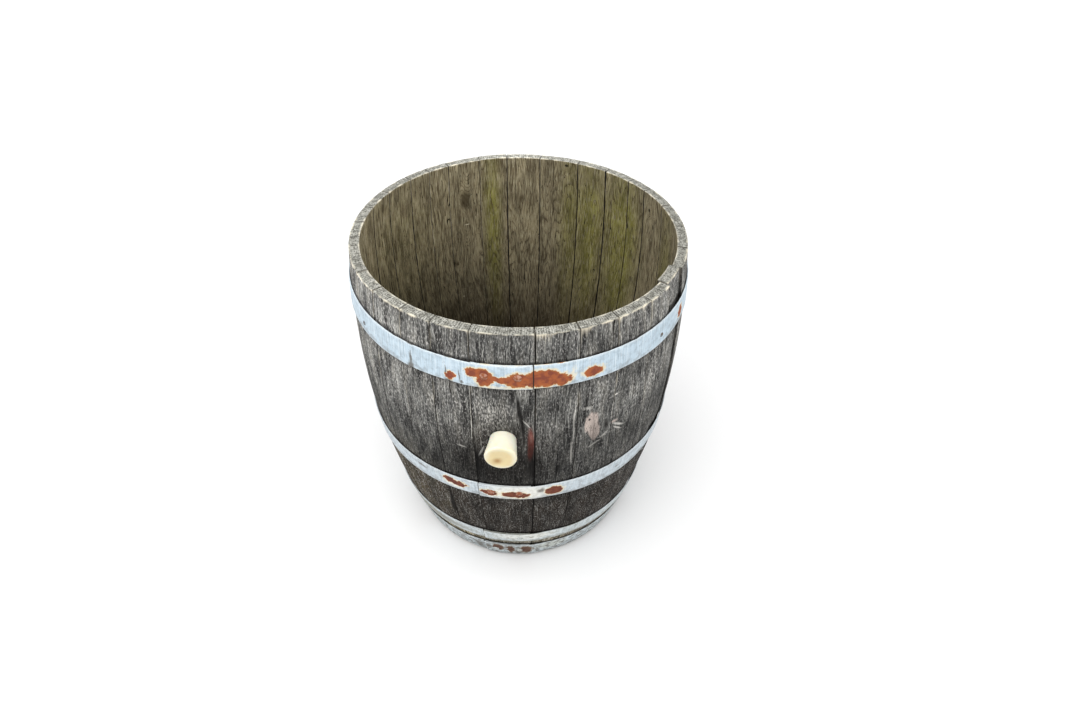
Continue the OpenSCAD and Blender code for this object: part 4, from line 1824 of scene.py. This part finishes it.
    def build(self) -> None:
        """Builds the hoops, the rivets and the nails."""
        hoops = self.hoops()
        for number, hoop in enumerate(hoops):
            hoop.build(seed=2.0 + 3.3 * number)
        rusting = HammeredSteel("steel_rivet_rusting", "#bd9280", "#8f5233", 0.36, 0.56, 0.3)
        sound = HammeredSteel("steel_rivet_zinced", "#c3c8c6", "#8c8672", 0.50, 0.70)
        places = [place for hoop in hoops for place in hoop.rivet_places()]
        rivets = self.studs(places, self.rivet_r, self.rivet_h, 1.5)
        for face in rivets.faces:
            face.material_index = int(face.calc_center_median().z < hoops[1].low)
        heads = finished(rivets, "rivet_heads", rusting.material(), sound.material())
        install(heads, "barrel", "rivet_steel", "hoop_rivets")
        upper, lower = hoops[:2]
        places = [upper.place(az, self.upper_nail_height, upper.iron) for az in self.upper_nails]
        places += [lower.place(az, self.nail_under, lower.iron) for az in self.lower_nails]
        nail = HammeredSteel("steel_nail_zinced", "#7e8589", "#5a4838", 0.42, 0.62)
        nails = self.studs(places, self.nail_r, self.nail_h, 7.5)
        heads = finished(nails, "nail_heads", nail.material())
        install(heads, "barrel", "nail_steel", "hoop_nails")


# ---- head and bung ----


@dataclass
class Head:
    """The boards of the head and the dowels between them."""

    boards: int = 7
    arris: float = 0.0007

    def build(self) -> None:
        """Rounds the boards' arrises and dresses them, and gives the dowels their oak."""
        oak = Oak(
            name="oak_head_wet", hollow="#3d3427", ridge="#655a45", tint="#5a4d37",
            fleck="#7c705a", ring="#2f271c", check="#0d0b08", stain="#241c13", moss="#4d4a25",
            worn="#8d8168", fleck_share=0.35,
        ).material()
        for number in range(1, self.boards + 1):
            bm = bmesh.new()
            bm.from_mesh(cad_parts[f"head_board_{number}"].data)
            bmesh.ops.remove_doubles(bm, verts=bm.verts, dist=WELD)
            flat = math.radians(1)
            bmesh.ops.dissolve_limit(bm, angle_limit=flat, verts=bm.verts, edges=bm.edges)
            steep = math.radians(50)
            bmesh.ops.bevel(
                bm,
                geom=[e for e in bm.edges if e.is_manifold and e.calc_face_angle() > steep],
                offset=self.arris,
                affect="EDGES",
                segments=2,
                profile=0.5,
                material=-1,
                clamp_overlap=True,
            )
            bmesh.ops.triangulate(bm, faces=[f for f in bm.faces if len(f.verts) > 4])
            board = finished(bm, f"head_oak_{number}", oak)
            self.map_grain(board.data, number)
            install(board, "barrel", "head_oak", f"head_board_{number}")
        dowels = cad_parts["head_dowels"]
        dowels.data.materials.clear()
        dowels.data.materials.append(oak)

    @staticmethod
    def map_grain(mesh: Mesh, number: int) -> None:
        """Lays the grain along a board and sets its tone.

        Args:
            mesh: The board's mesh.
            number: Its number, from the front.
        """
        mesh.set_sharp_from_angle(angle=math.radians(35))
        points, corners = points_and_corners(mesh)
        co = points[corners]
        uv = co[:, [1, 0]] + co[:, [2, 2]] * (1.0, 0.0) + (40 + number, 2.3 * number)
        mesh.uv_layers.new(name=GRAIN_MAP).data.foreach_set("uv", uv.ravel())
        values = {"tone": 0.92 + 0.05 * math.sin(number * 2.4), "damp": 0.25, "moss": 0.1}
        marks = {mark: np.full(len(points), values.get(mark, 0.0)) for mark in WOOD_MARKS}
        mark_points(mesh, marks)


@dataclass
class Bung:
    """The tapered silicone bung, with a rounded and dished outer end."""

    radius: float = 0.0243
    end_radius: float = 0.0294
    inside: float = 0.024
    outside: float = 0.041
    corner: float = 0.004
    foot: float = 0.0015
    dish_d: float = 0.002
    sag: float = 0.00035

    def taper(self, out: float) -> float:
        """Radius at a distance outside the cask's surface."""
        return self.radius + (self.end_radius - self.radius) * out / (self.outside - self.corner)

    def build(self) -> None:
        """Turns the bung on its axis and marks where it has aged."""
        flat_r, shoulder = self.end_radius - self.corner, self.outside - self.corner
        outline = [(0.0, -self.inside), (self.taper(-self.inside) - self.foot, -self.inside)]
        wall = np.linspace(self.foot - self.inside, shoulder, 16)
        outline += [(self.taper(out), out) for out in wall]
        outline += [
            (flat_r + self.corner * math.cos(a), shoulder + self.corner * math.sin(a))
            for a in np.linspace(0, math.pi / 2, 7)[1:]
        ]
        outline += [
            (r, self.outside - self.dish_d * (0.5 + 0.5 * math.cos(math.pi * r / flat_r)))
            for r in np.linspace(flat_r, 0, 16)[1:]
        ]
        bm = turned(outline, 96)
        for vert in bm.verts:
            sag = self.sag * noise.noise(vert.co * 45)
            reach = math.hypot(vert.co.x, vert.co.y)
            if reach > 1e-5 and vert.co.z > self.corner:
                vert.co.xy *= 1 + (sag - self.sag) / reach
        x, y, z = np.array([vert.co for vert in bm.verts]).T
        bm.transform(outward(BUNG_AZIMUTH, float(CASK.outer_r(BUNG_Z)), BUNG_Z))
        bung = finished(bm, "bung_plug", Silicone().material())
        aged = rise(0.008, 0.040, z) * (0.35 + 0.65 * rise(0.028, 0.016, np.hypot(x, y)))
        # on the turned shape X points down once the bung is seated
        spot = hump(x, 0.008, 0.007) * hump(y, -0.005, 0.008) * (z > 0.03)
        mark_points(bung.data, {"aged": aged, "spot": spot})
        install(bung, "bung", "bung_silicone", "bung")


# ---- studio ----


@dataclass
class Studio:
    """A white floor, even white light and the photo's camera."""

    focal_px: float = 607.6
    eye: tuple[float, float, float] = (0.0451, -1.0320, 1.3534)
    aim: tuple[float, float, float] = (0.0451, 0.0, 0.3880)
    roll: float = 1.284
    sensor: float = 36.0
    sky: float = 0.80
    lamp_size: float = 2.6
    lamp_power: float = 58.0
    lamp_place: tuple[float, float, float] = (-0.3, -0.8, 2.8)
    floor_half: float = 14.0
    floor_z: float = -0.0005

    def floor(self) -> None:
        """Lays the floor."""
        bm = bmesh.new()
        bmesh.ops.create_grid(bm, x_segments=1, y_segments=1, size=self.floor_half)
        bmesh.ops.translate(bm, verts=bm.verts, vec=(0, 0, self.floor_z))
        finished(bm, "studio_floor", StudioPaint().material())

    def light(self) -> None:
        """Lights the cask from a white sky and one large soft lamp straight above it."""
        world = bpy.data.worlds.new("studio_sky")
        bpy.context.scene.world = world
        world.use_nodes = True
        world.node_tree.nodes.clear()
        add = partial(add_node, world.node_tree)
        strength = add("MapRange", {"Value": direct_rays(add), 3: self.sky, 4: 1.0})
        sky = add("Background", {"Color": (1.0, 1.0, 1.0, 1.0), "Strength": strength})
        add("OutputWorld", {"Surface": sky})
        lamp = bpy.data.lights.new("soft_box", "AREA")
        lamp.shape = "DISK"
        lamp.size = self.lamp_size
        lamp.energy = self.lamp_power
        linked("soft_box", lamp).location = self.lamp_place

    def camera(self) -> None:
        """Sets the camera where the photo was taken."""
        lens = bpy.data.cameras.new("photo_camera")
        lens.sensor_width = self.sensor
        lens.lens = self.focal_px * self.sensor / IMAGE_WIDTH
        holder = linked("photo_camera", lens)
        look = (Vector(self.aim) - Vector(self.eye)).to_track_quat("-Z", "Y").to_matrix().to_4x4()
        turn = Matrix.Rotation(math.radians(self.roll), 4, "Z")
        holder.matrix_world = Matrix.Translation(self.eye) @ look @ turn
        bpy.context.scene.camera = holder

    def build(self) -> None:
        """Sets the studio up."""
        self.floor()
        self.light()
        self.camera()
        bpy.context.scene.view_settings.view_transform = "Standard"


def main() -> None:
    """Builds the planter and its studio."""
    logging.basicConfig(level=logging.INFO, format="%(name)s: %(message)s")
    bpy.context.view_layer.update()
    StaveWall().build()
    HoopSet().build()
    Head().build()
    Bung().build()
    Studio().build()


if __name__ == "__main__":
    main()
